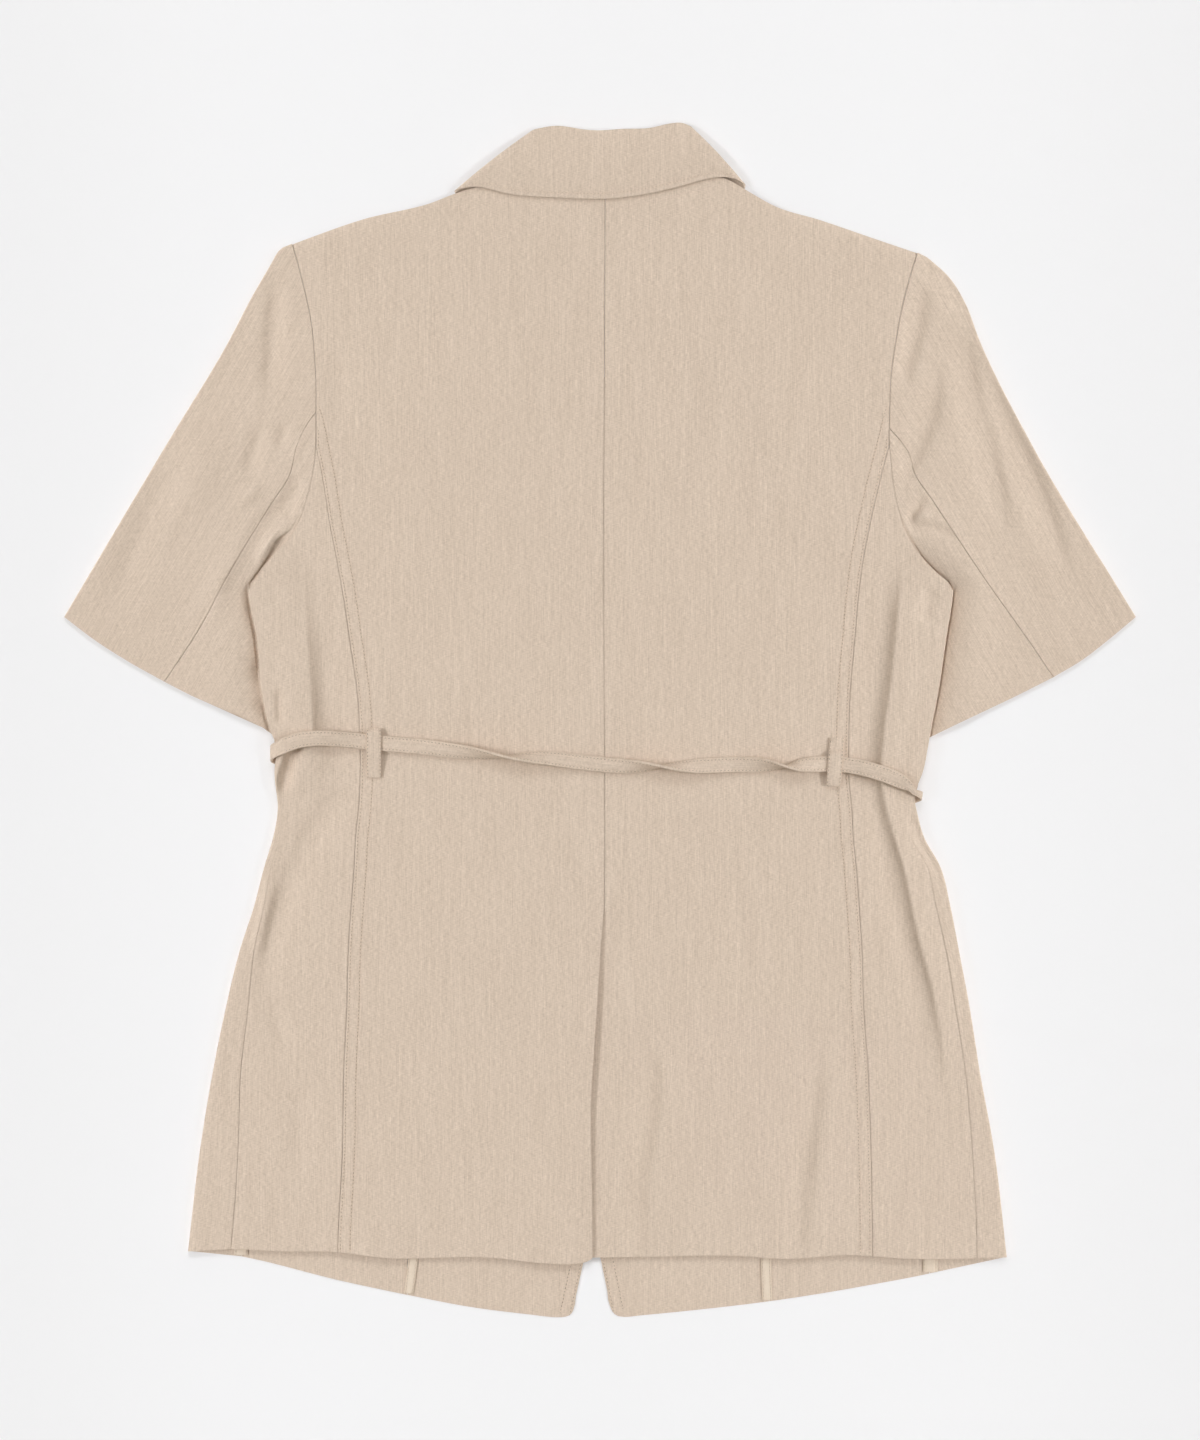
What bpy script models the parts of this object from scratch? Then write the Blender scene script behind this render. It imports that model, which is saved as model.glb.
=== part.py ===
"""A belted short-sleeved jacket laid flat with its back up, each cut piece a closed wall of cloth.

Lengths are in millimetres up to the point where a mesh is made. X runs to the right across the back,
Y towards the collar and Z up from the surface that the jacket lies on. Left and right are the sides as
seen from above.
"""

from collections import namedtuple
from functools import partial

import bmesh
import bpy
import numpy as np

MM = 0.001

# Cloth and the heights of its layers, from the surface up
CLOTH = 1.0
GAP = 0.3
LAYER = CLOTH + GAP
FRONT_MID = CLOTH / 2
LAP_RISE = LAYER
UNDERLAY_EASE = 0.15
UNDERLAY_DROP = LAYER + UNDERLAY_EASE
BACK_MID = FRONT_MID + 3 * LAYER

# Where the sleeves are tucked under the sides of the body
SLEEVE_FOLD_MID = FRONT_MID + 1.5
TUCK_RISE_FRONT = SLEEVE_FOLD_MID + LAYER - FRONT_MID
TUCK_RISE_BACK = 1.6
TUCK_FULL = 16.0
TUCK_GONE = 48.0
TUCK_STEPS = 8

# A fold's curve starts about this far in from the edge
FOLD_INSET = (BACK_MID - FRONT_MID + CLOTH) / 2

# Shoulder edge, where the back comes down onto the front
SHOULDER_ROUND = 7.0
SHOULDER_EASE = 0.5
SHOULDER_STEP = LAYER + SHOULDER_EASE

# Vent at the centre back
VENT_TOP = -126.0
VENT_DIVE = 8.0
UNDERLAY_WIDTH = 32.0
UNDERLAY_SLOPE = 26.0
VENT_LAP = 1.5
VENT_SLOPE = 16.0

# Belt and loops
BELT_WIDTH = 10.5
BELT_THICK = 1.8
LOOP_WIDTH = 10.0
LOOP_THICK = 1.5
BELT_HIDDEN_END = 64.0
BELT_CLEAR = 0.5
LOOP_EASE = 1.0

# Collar: fall and stand either side of the roll
COLLAR_WALL = 1.6
COLLAR_CENTRE = 3.6
FALL_OFFSET = 2.8
ROLL_RADIUS = 1.0
STAND_OFFSET = FALL_OFFSET - 2 * ROLL_RADIUS
FALL_CROWN = 2.0
COLLAR_TUCK_RISE = COLLAR_WALL + GAP

# Seam bindings inside the fronts
BINDING_THICK = 1.0
BINDING_TOP = -96.0

# Grid steps
LINE_STEPS = 12
HEM_STEPS = 30
NECK_STEPS = 6
CORNER_STEPS = 4
BELT_STEPS = 64
BELT_WRAP_STEPS = 6
BELT_HIDDEN_STEPS = 14
LOOP_STEPS = 12
SPREAD_STEPS = 5
FALL_STEPS = 4
ROLL_STEPS = 4
STAND_STEPS = 3
ARC_STEPS = 4
RELAX_ROUNDS = 400
ALIKE_SINE = 0.15
ARMHOLE_STEPS = (0.0, 0.12, 0.4, 1, 2, 3, 4, 5, 6, 7, 8, 9, 10, 11, 12, 13)
SLEEVE_SEAM_STATION = 6
PRINCESS_STATION = 7
UNDERARM_STATION = 13
BODY_LEVELS = (
    162, 136, 110, 88, 68, 48, 28, 10, -6, -20, -33, -46, -60, -76, -98,
    -126, -134, -142, -150, -160, -200, -245, -300,
)
FRONT_EXTRA_LEVELS = (-335, -352)
SLEEVE_ROWS = (0, 0.015, 0.04, 0.09, 0.17, 0.27, 0.38, 0.5, 0.62, 0.75, 0.88, 1)
BACK_LEFT_COLUMNS = (0, 0.1, 0.2, 0.34, 0.5, 0.66, 0.82, 0.93, 1)
BACK_RIGHT_COLUMNS = (0, 0.04, 0.09, 0.14, 0.18, 0.24, 0.36, 0.5, 0.66, 0.8, 0.9, 1)
SIDE_COLUMNS = 3
UNDER_SLEEVE_COLUMNS = 4
SLEEVE_POINT_SHARE = 0.15
FRONT_COLUMNS = (0, 0.15, 0.35, 0.6, 0.78, 0.88, 0.94, 1)

CLOTH_COLOUR = (0.672, 0.546, 0.445, 1)
CLOTH_ROUGHNESS = 0.85

# One row for each level across the body, above the underarm with the edge columns held
Section = namedtuple(
    "Section",
    "level left_edge left_side left_princess right_princess right_side right_edge"
    " left_front_side left_front_princess right_front_princess right_front_side",
)
SECTIONS = (
    Section(-370, -281, -252, -178, 185, 256, 277, -244, -131, 115, 224),
    Section(-361, -280, -251, -178, 185, 256, 276, -244, -131, 116, 224),
    Section(-293, -272, -246, -175, 184, 253, 268, -241, -133, 122, 225),
    Section(-238, -263, -244, -174, 182, 248, 258, -237, -135, 127, 224),
    Section(-194, -254, -239, -172, 179, 241, 251, -232, -137, 131, 223),
    Section(-157, -245, -235, -171, 178, 235, 244, -227, -139, 135, 221),
    Section(-126, -235, -228, -169, 176, 228, 238, -222, -140, 138, 219),
    Section(-99, -228, -223, -167, 174, 222, 231, -217, -142, 141, 215),
    Section(-79, -222, -217, -166, 172, 211, 220, -213, -143, 144, 210),
    Section(-60, -219, -214, -164, 171, 210, 216, -212, -144, 146, 209),
    Section(-41, -221, -216, -163, 169, 214, 219, -214, -145, 147, 212),
    Section(-11, -224, -219, -163, 169, 219, 224, -218, -150, 152, 217),
    Section(20, -230, -224, -165, 170, 225, 230, -223, -156, 158, 223),
    Section(54, -233, -228, -170, 173, 230, 235, -227, -164, 166, 229),
    Section(88, -239, -235, -175, 176, 236, 240, -235, -172, 174, 236),
    Section(110, -239, -235, -179, 179, 236, 240, -235, -178, 179, 236),
    Section(136, -239, -235, -184, 184, 236, 240, -235, -184, 184, 236),
    Section(162, -239, -235, -188, 190, 236, 240, -235, -189, 190, 236),
    Section(187, -239, -235, -193, 196.5, 236, 240, -235, -193, 196.5, 236),
)
TOP_LEVEL = 187.0
UNDERARM_LEVEL = 88.0
WAIST_LEVEL = -6.0

# Armhole seams, from the shoulder to the underarm
Armhole = namedtuple("Armhole", "left_x left_y right_x right_y")
ARMHOLE = (
    Armhole(-209, 323, 215.5, 317),
    Armhole(-205, 309, 210, 299),
    Armhole(-200, 289, 205, 279),
    Armhole(-196, 269, 201, 257),
    Armhole(-194, 247, 198, 236),
    Armhole(-193, 228, 197, 216),
    Armhole(-193, 209, 196.5, 198),
    Armhole(-193, 187, 196.5, 187),
    Armhole(-195, 168, 199, 162),
    Armhole(-199, 151, 203, 142),
    Armhole(-204, 136, 209, 125),
    Armhole(-211, 124, 218, 111),
    Armhole(-221, 113, 227, 101.5),
    Armhole(-235, 94, 236, 94),
)

# Sleeves: outer fold, back seam, inner fold and the two stretches of the cuff
Sleeve = namedtuple("Sleeve", "outer back_seam inner cuff_outer cuff_inner")
SLEEVES = {
    "left": Sleeve(
        outer=(
            (-209, 323), (-215, 321.5), (-219, 318), (-223, 311),
            (-238, 285), (-252, 258), (-293, 190), (-364.3, 70),
        ),
        back_seam=(
            (-193, 209), (-199, 201), (-206, 186), (-211, 166),
            (-222, 149), (-253, 98), (-271, 64), (-296, 26),
        ),
        inner=((-235, 94), (-228, 60), (-222, 20), (-218, -13)),
        cuff_outer=((-296, 26), (-321, 40), (-343, 54), (-364.3, 70)),
        cuff_inner=((-296, 26), (-271, 13.5), (-252, 6), (-235, -1), (-218, -13)),
    ),
    "right": Sleeve(
        outer=(
            (215.5, 317), (221, 315.4), (226, 311.5), (239, 299),
            (248, 284), (258, 258), (292, 190), (364.3, 70),
        ),
        back_seam=(
            (196.5, 198), (203, 191), (209.5, 182), (214, 167),
            (226, 149), (266, 89), (289, 57), (308, 29),
        ),
        inner=((236, 94), (229, 58), (222, 20), (217, -15)),
        cuff_outer=((308, 29), (328, 41), (345, 54), (364.3, 70)),
        cuff_inner=((308, 29), (282, 16), (249, 0.5), (225, -11), (217, -15)),
    ),
}

# Shoulder lines from the armhole to the neck, the last stretch under the collar
SHOULDERS = {
    "left": ((-209, 323), (-201, 326), (-161, 340), (-114, 351.5), (-99, 351), (-82, 356.5), (-64, 366.5)),
    "right": ((215.5, 317), (189, 326), (148, 340), (120, 348), (104, 352), (86, 358), (67, 366.5)),
}
NECK_CENTRE = (3.5, 364.0)
NECKLINE_DIP = {"left": (-34, 364.0), "right": (40, 364.0)}

# Centre back seam above the vent, and the left panel's edge below it
CENTRE_SEAM = ((364, 3.5), (240, 3), (149, 2.5), (25, 2.7), (-60, 3.2), (VENT_TOP, 3))
VENT_EDGE = (
    (VENT_TOP, 3), (-150, 1), (-183, -1), (-227, -4),
    (-262, -6), (-289, -6), (-323, -5.3), (-370, -5),
)

# Hems, from the outer corner to the centre
BACK_HEM = {
    "left": (
        (-281, -361), (-249, -359.5), (-216, -361), (-178, -361.5),
        (-150, -365), (-70, -365.5), (-39, -369), (-5, -368.5),
    ),
    "right": (
        (277, -365), (243, -366), (210, -366), (169, -363.5),
        (127, -366), (89, -364), (41, -364.5), (-40, -366),
    ),
}
BACK_HEM_LEVEL = -366.0
FRONT_HEM = {
    "left": (
        (-281, -360.5), (-258, -362), (-237, -366), (-177, -381),
        (-130, -391), (-88, -399), (-41, -405),
    ),
    "right": (
        (276, -362), (254, -368), (233, -374), (181, -384.5),
        (116, -395), (56, -402), (25, -405),
    ),
}
FRONT_HEM_LEVEL = -380.0
FRONT_CORNER = {
    "left": ((-41, -405), (-27, -406.3), (-20, -404), (-17, -397)),
    "right": ((25, -405), (12, -406), (7.5, -402), (5.5, -394)),
}

# Front neckline and edge, from the neck to the hem corner
FRONT_EDGE = {
    "left": (
        (-64, 366.5), (-55, 303), (15, 215), (15, 187),
        (15, -259), (0, -327), (-11, -370), (-17, -397),
    ),
    "right": (
        (67, 366.5), (57, 303), (-12, 215), (-12, 187),
        (-12, -259), (-7, -337), (0, -367), (5.5, -394),
    ),
}
NECKLINE_POINTS = 4

# Where the left front is lifted onto the right one
LAP_LOW = -370.0
LAP_FULL = -343.0
LAP_MARGIN = 26.0
LAP_SLOPE = 12.0
LAP_TOP = 260.0
LAP_TOP_FADE = 30.0

# Collar stations from the left front end round the back to the right front end
Station = namedtuple("Station", "turn edge_x edge_y roll_x roll_y seam_x seam_y")
COLLAR = (
    Station(180, -72, 298, -34, 306, -48.8, 302.5),
    Station(180, -88, 331, -36, 356, -55, 338),
    Station(180, -95, 350, -42.5, 397, -61, 372.5),
    Station(135, -97, 354.5, -43, 398, -61, 373),
    Station(90, -96.8, 356.2, -43.2, 398.2, -60.5, 373),
    Station(45, -95.5, 358.5, -42.5, 399.5, -58, 371.5),
    Station(0, -91, 361.5, -39.5, 400.8, -54, 370.5),
    Station(0, -80, 362, -31, 402, -43, 368.8),
    Station(0, -59, 357, -22, 401.5, -30, 368),
    Station(0, -30, 355, -11, 399.6, -13, 367.5),
    Station(0, 1, 354, 1, 399, 3.5, 367),
    Station(0, 26, 356.5, 16, 400, 19, 367.5),
    Station(0, 50, 361.5, 33, 400.5, 35, 368),
    Station(0, 74, 368, 47, 403.6, 48, 369),
    Station(0, 89, 368.3, 55.5, 404.4, 58, 371),
    Station(45, 95, 363.5, 59.5, 401.5, 62, 372.5),
    Station(90, 96.4, 360.6, 59.6, 400.2, 64, 373.5),
    Station(135, 97, 358, 58.5, 399, 64.5, 373),
    Station(180, 94, 353, 57.5, 397.5, 64, 372.5),
    Station(180, 88, 333, 38, 356, 57, 338),
    Station(180, 74, 298, 36, 306, 50.8, 302.5),
)
FOLD_NORMALS = {"left": (-0.616, 0.788), "right": (0.733, 0.68)}
COLLAR_FRONT = {
    "left": ((-85, 365), (-63, 345), (-54, 302)),
    "right": ((85, 368), (63, 346), (56, 302)),
}
COLLAR_FULL = 32.0
COLLAR_GONE = 62.0

# Largest folds: a route, the half width of the fold and how far it rises or sinks
Fold = namedtuple("Fold", "route half_width rise")
FOLD_END = 0.22
BODY_FOLDS = (
    Fold(((-207, 74), (-204, 30), (-203, -6)), 8, 2.4),
    Fold(((-196, 72), (-193, 30), (-195, -4)), 8, -0.9),
    Fold(((-200, -28), (-208, -42), (-214, -56)), 8, 2.2),
    Fold(((-175, -58), (-211, -108), (-228, -164)), 14, -1.2),
    Fold(((-221, -104), (-229, -140), (-236, -168)), 9, 1.3),
    Fold(((205, 86), (200, 32), (198, -16)), 9, 2.6),
    Fold(((198, -58), (203, -74), (211, -92)), 9, 2.2),
    Fold(((194, 84), (189, 32), (187, -21), (188, -52), (194, -74)), 8, -0.5),
    Fold(((194, -76), (207, -119), (217, -166), (227, -215), (235, -269)), 9, -1.4),
    Fold(((209, -98), (219, -140), (229, -186), (237, -225)), 9, 1.0),
    Fold(((31, -215), (41, -252), (39, -303), (37, -356)), 14, -0.9),
    Fold(((148, -318), (147, -360)), 11, -0.8),
)
SLEEVE_FOLDS = (
    Fold(((-219, 306), (-222, 268), (-223, 227)), 10, -1.3),
    Fold(((-211, 204), (-222, 186), (-231, 168)), 10, -1.2),
    Fold(((-236, 250), (-262, 205), (-290, 150)), 16, 0.9),
    Fold(((224, 287), (216, 258), (210, 231)), 9, -1.3),
    Fold(((231, 235), (224, 210), (218, 187)), 9, -1.2),
    Fold(((252, 255), (258, 215), (270, 175), (280, 128)), 10, -1.5),
    Fold(((290, 179), (306, 143), (322, 94)), 10, -1.3),
)

# Belt across the back, with its turn about its own length
BeltPoint = namedtuple("BeltPoint", "x y turn")
BELT_BACK = (
    BeltPoint(-212, -15, 0),
    BeltPoint(-195, -12.5, 0),
    BeltPoint(-177, -13, 0),
    BeltPoint(-152, -15.5, 0),
    BeltPoint(-122, -18, 0),
    BeltPoint(-98, -21, 22),
    BeltPoint(-64, -25, 90),
    BeltPoint(-36, -26, 152),
    BeltPoint(-10, -29, 180),
    BeltPoint(18, -31.5, 205),
    BeltPoint(42, -31.5, 270),
    BeltPoint(66, -31.5, 335),
    BeltPoint(90, -30.5, 360),
    BeltPoint(108, -30.5, 385),
    BeltPoint(126, -31.5, 450),
    BeltPoint(142, -30.5, 520),
    BeltPoint(156, -30, 540),
    BeltPoint(170, -31, 540),
    BeltPoint(188, -35.5, 540),
    BeltPoint(206, -43, 540),
)
BELT_WRAP_LEVEL = {"left": -20.0, "right": -50.0}
BELT_FRONT_LEVEL = {"left": (-26.0, -32.0), "right": (-54.0, -40.0)}
BELT_FULL = BELT_WIDTH / 2 + 11
BELT_GONE = 34.0

Loop = namedtuple("Loop", "top_x top_y foot_x foot_y")
LOOPS = {"left": Loop(-153.5, -6, -153.5, -39), "right": Loop(161, -12, 158.5, -44.5)}
LOOP_SHOULDER = 4.0

Binding = namedtuple("Binding", "seam width")
BINDINGS = {
    "front_binding_left": Binding("left_front_princess", 5.5),
    "front_binding_right": Binding("right_front_princess", 6.0),
    "side_binding_left": Binding("left_front_side", 8.5),
    "side_binding_right": Binding("right_front_side", 9.5),
}
BINDING_HEM_CLEARANCE = 2.0
BINDING_LEVELS = 9


def hermite(knots, values, at):
    """A smooth curve through the values at the knots, read at the places given."""
    knots = np.asarray(knots, float)
    values = np.asarray(values, float)
    slopes = np.gradient(values, knots, axis=0)
    at = np.clip(np.asarray(at, float), knots[0], knots[-1])
    index = np.clip(np.searchsorted(knots, at, side="right") - 1, 0, len(knots) - 2)
    span = knots[index + 1] - knots[index]
    t = (at - knots[index]) / span
    if values.ndim > 1:
        t, span = t[:, None], span[:, None]
    return (
        (1 + 2 * t) * (1 - t) ** 2 * values[index]
        + t * (1 - t) ** 2 * span * slopes[index]
        + t * t * (3 - 2 * t) * values[index + 1]
        + t * t * (t - 1) * span * slopes[index + 1]
    )


def lengths_along(line):
    """The length of a line up to each of its points."""
    steps = np.linalg.norm(np.diff(line, axis=0), axis=1)
    return np.concatenate([[0.0], np.cumsum(steps)])


def shares(line):
    """How far along a line each of its points lies, from 0 to 1."""
    lengths = lengths_along(line)
    return lengths / lengths[-1]


def sample(line, fractions):
    """Points of a polyline at fractions of its length."""
    lengths = lengths_along(line)
    at = np.asarray(fractions) * lengths[-1]
    return np.stack([np.interp(at, lengths, line[:, axis]) for axis in range(line.shape[1])], axis=1)


def smooth(points, steps=LINE_STEPS):
    """A dense smooth line through a few points."""
    points = np.asarray(points, float)
    knots = lengths_along(points)
    return hermite(knots, points, np.linspace(0, knots[-1], steps * len(points)))


def shifted(line, distance):
    """A line moved sideways, to the left of its own direction where the distance is positive."""
    along = np.gradient(line, axis=0)
    along /= np.linalg.norm(along, axis=1, keepdims=True)
    return line + distance * np.stack([-along[:, 1], along[:, 0]], axis=1)


def ease(t):
    """A soft step from 0 to 1."""
    t = np.clip(t, 0, 1)
    return t * t * (3 - 2 * t)


def fade(distance, full, gone):
    """1 up to the distance called full, and 0 past the one called gone."""
    return 1 - ease((distance - full) / (gone - full))


def nearest(points, line):
    """The distance of each point from a polyline, and how far along the line its foot lies, from 0 to 1."""
    line = np.asarray(line, float)
    lengths = lengths_along(line)
    best = np.full(points.shape[:-1], np.inf)
    along = np.zeros(points.shape[:-1])
    for start, end, before in zip(line[:-1], line[1:], lengths[:-1]):
        run = end - start
        t = np.clip(((points - start) @ run) / (run @ run), 0, 1)
        distance = np.linalg.norm(points - (start + t[..., None] * run), axis=-1)
        closer = distance < best
        best = np.where(closer, distance, best)
        along = np.where(closer, (before + t * np.linalg.norm(run)) / lengths[-1], along)
    return best, along


def column(name, levels):
    """Where a seam or edge of the body lies at the levels given."""
    knots = [row.level for row in SECTIONS]
    return hermite(knots, [getattr(row, name) for row in SECTIONS], levels)


def at_levels(name, levels):
    """A seam or edge of the body as points."""
    levels = np.asarray(levels, float)
    return np.stack([column(name, levels), levels], axis=1)


def folds_at(folds, points):
    """The rise of a set of folds, each fading out at both ends."""
    rise = np.zeros(points.shape[:-1])
    for fold in folds:
        distance, along = nearest(points, smooth(fold.route))
        ends = ease(along / FOLD_END) * ease((1 - along) / FOLD_END)
        rise += fold.rise * ends * np.exp(-((distance / fold.half_width) ** 2))
    return rise


def tuck_line(side):
    """The edge of the body over the tucked sleeve."""
    foot = SLEEVES[side].inner[-1][1]
    return at_levels(f"{side}_edge", np.linspace(UNDERARM_LEVEL, foot, TUCK_STEPS))


def belt_hidden(side):
    """The belt's route under one front, from the side to its end."""
    outer, inner = BELT_FRONT_LEVEL[side]
    sign = -1 if side == "left" else 1
    edge = column(f"{side}_edge", np.array([outer]))[0]
    halfway = (sign * (BELT_HIDDEN_END + abs(edge)) / 2, (outer + inner) / 2)
    return np.array([(edge, outer), halfway, (sign * BELT_HIDDEN_END, inner)])


def tuck(points):
    """How far the body is lifted over the tucked sleeves, from 0 to 1."""
    lifts = [fade(nearest(points, tuck_line(side))[0], TUCK_FULL, TUCK_GONE) for side in SLEEVES]
    return np.maximum(*lifts)


def front_height(points):
    """The middle of the front layer over the surface, with what lies under it."""
    rise = TUCK_RISE_FRONT * tuck(points)
    for side in SLEEVES:
        over_belt = fade(nearest(points, belt_hidden(side))[0], BELT_FULL, BELT_GONE)
        over_collar = fade(nearest(points, COLLAR_FRONT[side])[0], COLLAR_FULL, COLLAR_GONE)
        rise = np.maximum(rise, (BELT_THICK + GAP) * over_belt)
        rise = np.maximum(rise, COLLAR_TUCK_RISE * over_collar)
    return FRONT_MID + rise


def lapped_front_height(points):
    """The front that lies on the other one at the centre."""
    edge = np.array(FRONT_EDGE["right"][2:])
    other = np.interp(points[..., 1], edge[::-1, 1], edge[::-1, 0])
    lap = ease((points[..., 0] - other + LAP_MARGIN) / LAP_SLOPE)
    above_hem = ease((points[..., 1] - LAP_LOW) / (LAP_FULL - LAP_LOW))
    below_neck = ease((LAP_TOP - points[..., 1]) / LAP_TOP_FADE)
    return front_height(points) + LAP_RISE * lap * above_hem * below_neck


def back_height(points):
    """The middle of the back layer, coming down to the fronts along the shoulders."""
    height = BACK_MID + TUCK_RISE_BACK * tuck(points) + folds_at(BODY_FOLDS, points)
    edge_height = front_height(points) + SHOULDER_STEP
    for side in SLEEVES:
        distance, _ = nearest(points, smooth(SHOULDERS[side]))
        inward = np.clip(distance / SHOULDER_ROUND, 0, 1)
        height = edge_height + (height - edge_height) * np.sqrt(1 - (1 - inward) ** 2)
    return height


def vent_x(levels):
    """Where the left panel's vent edge lies at the levels given."""
    edge = np.array(VENT_EDGE)[::-1]
    return hermite(edge[:, 0], edge[:, 1], levels)


def right_back_height(points):
    """The right half of the back, which dips under the left one below the top of the vent."""
    past_edge = points[..., 0] - vent_x(points[..., 1].ravel()).reshape(points.shape[:-1])
    dip = fade(past_edge, VENT_LAP, VENT_SLOPE) * ease((VENT_TOP - points[..., 1]) / VENT_DIVE)
    return back_height(points) - UNDERLAY_DROP * dip


def sleeve_height(points, side):
    """The upper layer of a sleeve, which sinks towards the inner fold under the body."""
    distance, _ = nearest(points, smooth(SLEEVES[side].inner))
    sunk = fade(distance, TUCK_FULL, TUCK_GONE)
    height = BACK_MID + folds_at(SLEEVE_FOLDS, points)
    return height + (SLEEVE_FOLD_MID - height) * sunk


def meeting(first, second):
    """Where the first stretches of two lines cross, or the point between their ends if they run alike."""
    run_a = first[1] - first[0]
    run_b = second[1] - second[0]
    across = run_a[0] * run_b[1] - run_a[1] * run_b[0]
    if abs(across) < ALIKE_SINE * np.linalg.norm(run_a) * np.linalg.norm(run_b):
        return (first[0] + second[0]) / 2
    offset = second[0] - first[0]
    return first[0] + run_a * (offset[0] * run_b[1] - offset[1] * run_b[0]) / across


def patch(top, bottom, left, right):
    """A grid of plan points between four lines: top and bottom run left to right, the sides top to bottom."""
    top, bottom, left, right = (np.array(line, float) for line in (top, bottom, left, right))
    top_left = meeting(left, top)
    top_right = meeting(right, top[::-1])
    low_left = meeting(left[::-1], bottom)
    low_right = meeting(right[::-1], bottom[::-1])
    top[0], top[-1], bottom[0], bottom[-1] = top_left, top_right, low_left, low_right
    left[0], right[0], left[-1], right[-1] = top_left, top_right, low_left, low_right
    u = ((shares(top) + shares(bottom)) / 2)[None, :, None]
    v = ((shares(left) + shares(right)) / 2)[:, None, None]
    sides = (1 - u) * left[:, None] + u * right[:, None]
    ends = (1 - v) * top[None] + v * bottom[None]
    upper_corners = (1 - u) * top_left + u * top_right
    lower_corners = (1 - u) * low_left + u * low_right
    return sides + ends - (1 - v) * upper_corners - v * lower_corners


def relaxed(plan):
    """A grid whose inner points lie evenly among their neighbours, with its edge kept."""
    plan = plan.copy()
    for _ in range(RELAX_ROUNDS):
        plan[1:-1, 1:-1] = (plan[:-2, 1:-1] + plan[2:, 1:-1] + plan[1:-1, :-2] + plan[1:-1, 2:]) / 4
    return plan


def raised(plan, heights):
    """Plan points with their heights."""
    return np.concatenate([plan, heights[..., None]], axis=-1)


def cloth_material(name):
    """The beige suiting that every piece is cut from."""
    material = bpy.data.materials.new(name)
    material.use_nodes = True
    shader = material.node_tree.nodes["Principled BSDF"]
    shader.inputs["Base Color"].default_value = CLOTH_COLOUR
    shader.inputs["Roughness"].default_value = CLOTH_ROUGHNESS
    shader.inputs["Metallic"].default_value = 0.0
    return material


def add_solid(name, points, faces, root):
    """A named object from points in millimetres and faces, with its faces turned outwards."""
    mesh = bpy.data.meshes.new(name)
    mesh.from_pydata((np.asarray(points) * MM).tolist(), [], [list(face) for face in faces])
    work = bmesh.new()
    work.from_mesh(mesh)
    bmesh.ops.recalc_face_normals(work, faces=work.faces)
    work.to_mesh(mesh)
    work.free()
    mesh.shade_smooth()
    mesh.materials.append(cloth_material(f"{name}_cloth"))
    piece = bpy.data.objects.new(name, mesh)
    bpy.context.scene.collection.objects.link(piece)
    piece.parent = root


Slit = namedtuple("Slit", "rows first_column last_column")
NO_SLIT = Slit(0, 0, 0)


def grid_quads(rows, columns, slit):
    """The quads of a grid of points, left out where a slit is open in its first rows."""
    index = np.arange(rows * columns).reshape(rows, columns)
    quads = []
    for i in range(rows - 1):
        for j in range(columns - 1):
            if i >= slit.rows or not slit.first_column <= j < slit.last_column:
                quads.append((index[i, j], index[i, j + 1], index[i + 1, j + 1], index[i + 1, j]))
    return np.array(quads)


def add_wall(name, grid, thickness, root, slit=NO_SLIT):
    """A wall of cloth whose middle is the grid, closed round its rim."""
    quads = grid_quads(*grid.shape[:2], slit)
    used, quads = np.unique(quads, return_inverse=True)
    quads = quads.reshape(-1, 4)
    middle = grid.reshape(-1, 3)[used]
    normals = np.zeros_like(middle)
    for quad in quads:
        a, b, c, d = middle[quad]
        normals[quad] += np.cross(c - a, d - b)
    normals /= np.linalg.norm(normals, axis=1, keepdims=True)
    other = len(middle)
    points = np.concatenate([middle + normals * thickness / 2, middle - normals * thickness / 2])
    faces = []
    edges = set()
    for quad in quads.tolist():
        faces.append(quad)
        faces.append([other + corner for corner in reversed(quad)])
        edges.update(zip(quad, quad[1:] + quad[:1]))
    for start, end in sorted(edges):
        if (end, start) not in edges:
            faces.append([end, start, other + start, other + end])
    add_solid(name, points, faces, root)


def add_ribbon(name, centres, across, width, thickness, root):
    """A flat ribbon along a line of centres, with the direction of its width at each."""
    along = np.gradient(centres, axis=0)
    across = across / np.linalg.norm(across, axis=1, keepdims=True)
    up = np.cross(along, across)
    up /= np.linalg.norm(up, axis=1, keepdims=True)
    beside = across * width / 2
    above = up * thickness / 2
    upper = (centres + beside + above, centres - beside + above)
    lower = (centres - beside - above, centres + beside - above)
    points = np.stack([*upper, *lower], axis=1).reshape(-1, 3)
    faces = [[0, 1, 2, 3], [len(points) - 4 + corner for corner in (3, 2, 1, 0)]]
    for i in range(len(centres) - 1):
        for j in range(4):
            start, end = 4 * i + j, 4 * i + (j + 1) % 4
            faces.append([start, end, end + 4, start + 4])
    add_solid(name, points, faces, root)


def armhole(side):
    """The armhole seam as points, from the shoulder to the underarm."""
    rows = [(getattr(row, f"{side}_x"), getattr(row, f"{side}_y")) for row in ARMHOLE]
    return hermite(np.arange(len(rows)), rows, ARMHOLE_STEPS)


def armhole_part(side, first, last):
    """The armhole seam between two of its stations."""
    steps = list(ARMHOLE_STEPS)
    return armhole(side)[steps.index(first) : steps.index(last) + 1]


def inward(side):
    """1 where a downward line's left hand points to the middle of the back, else -1."""
    return 1 if side == "left" else -1


def hem_point(line, seam_x):
    """The point of a hem line under a seam."""
    line = smooth(line)
    order = np.argsort(line[:, 0])
    return np.array([seam_x, np.interp(seam_x, line[order, 0], line[order, 1])])


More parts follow.
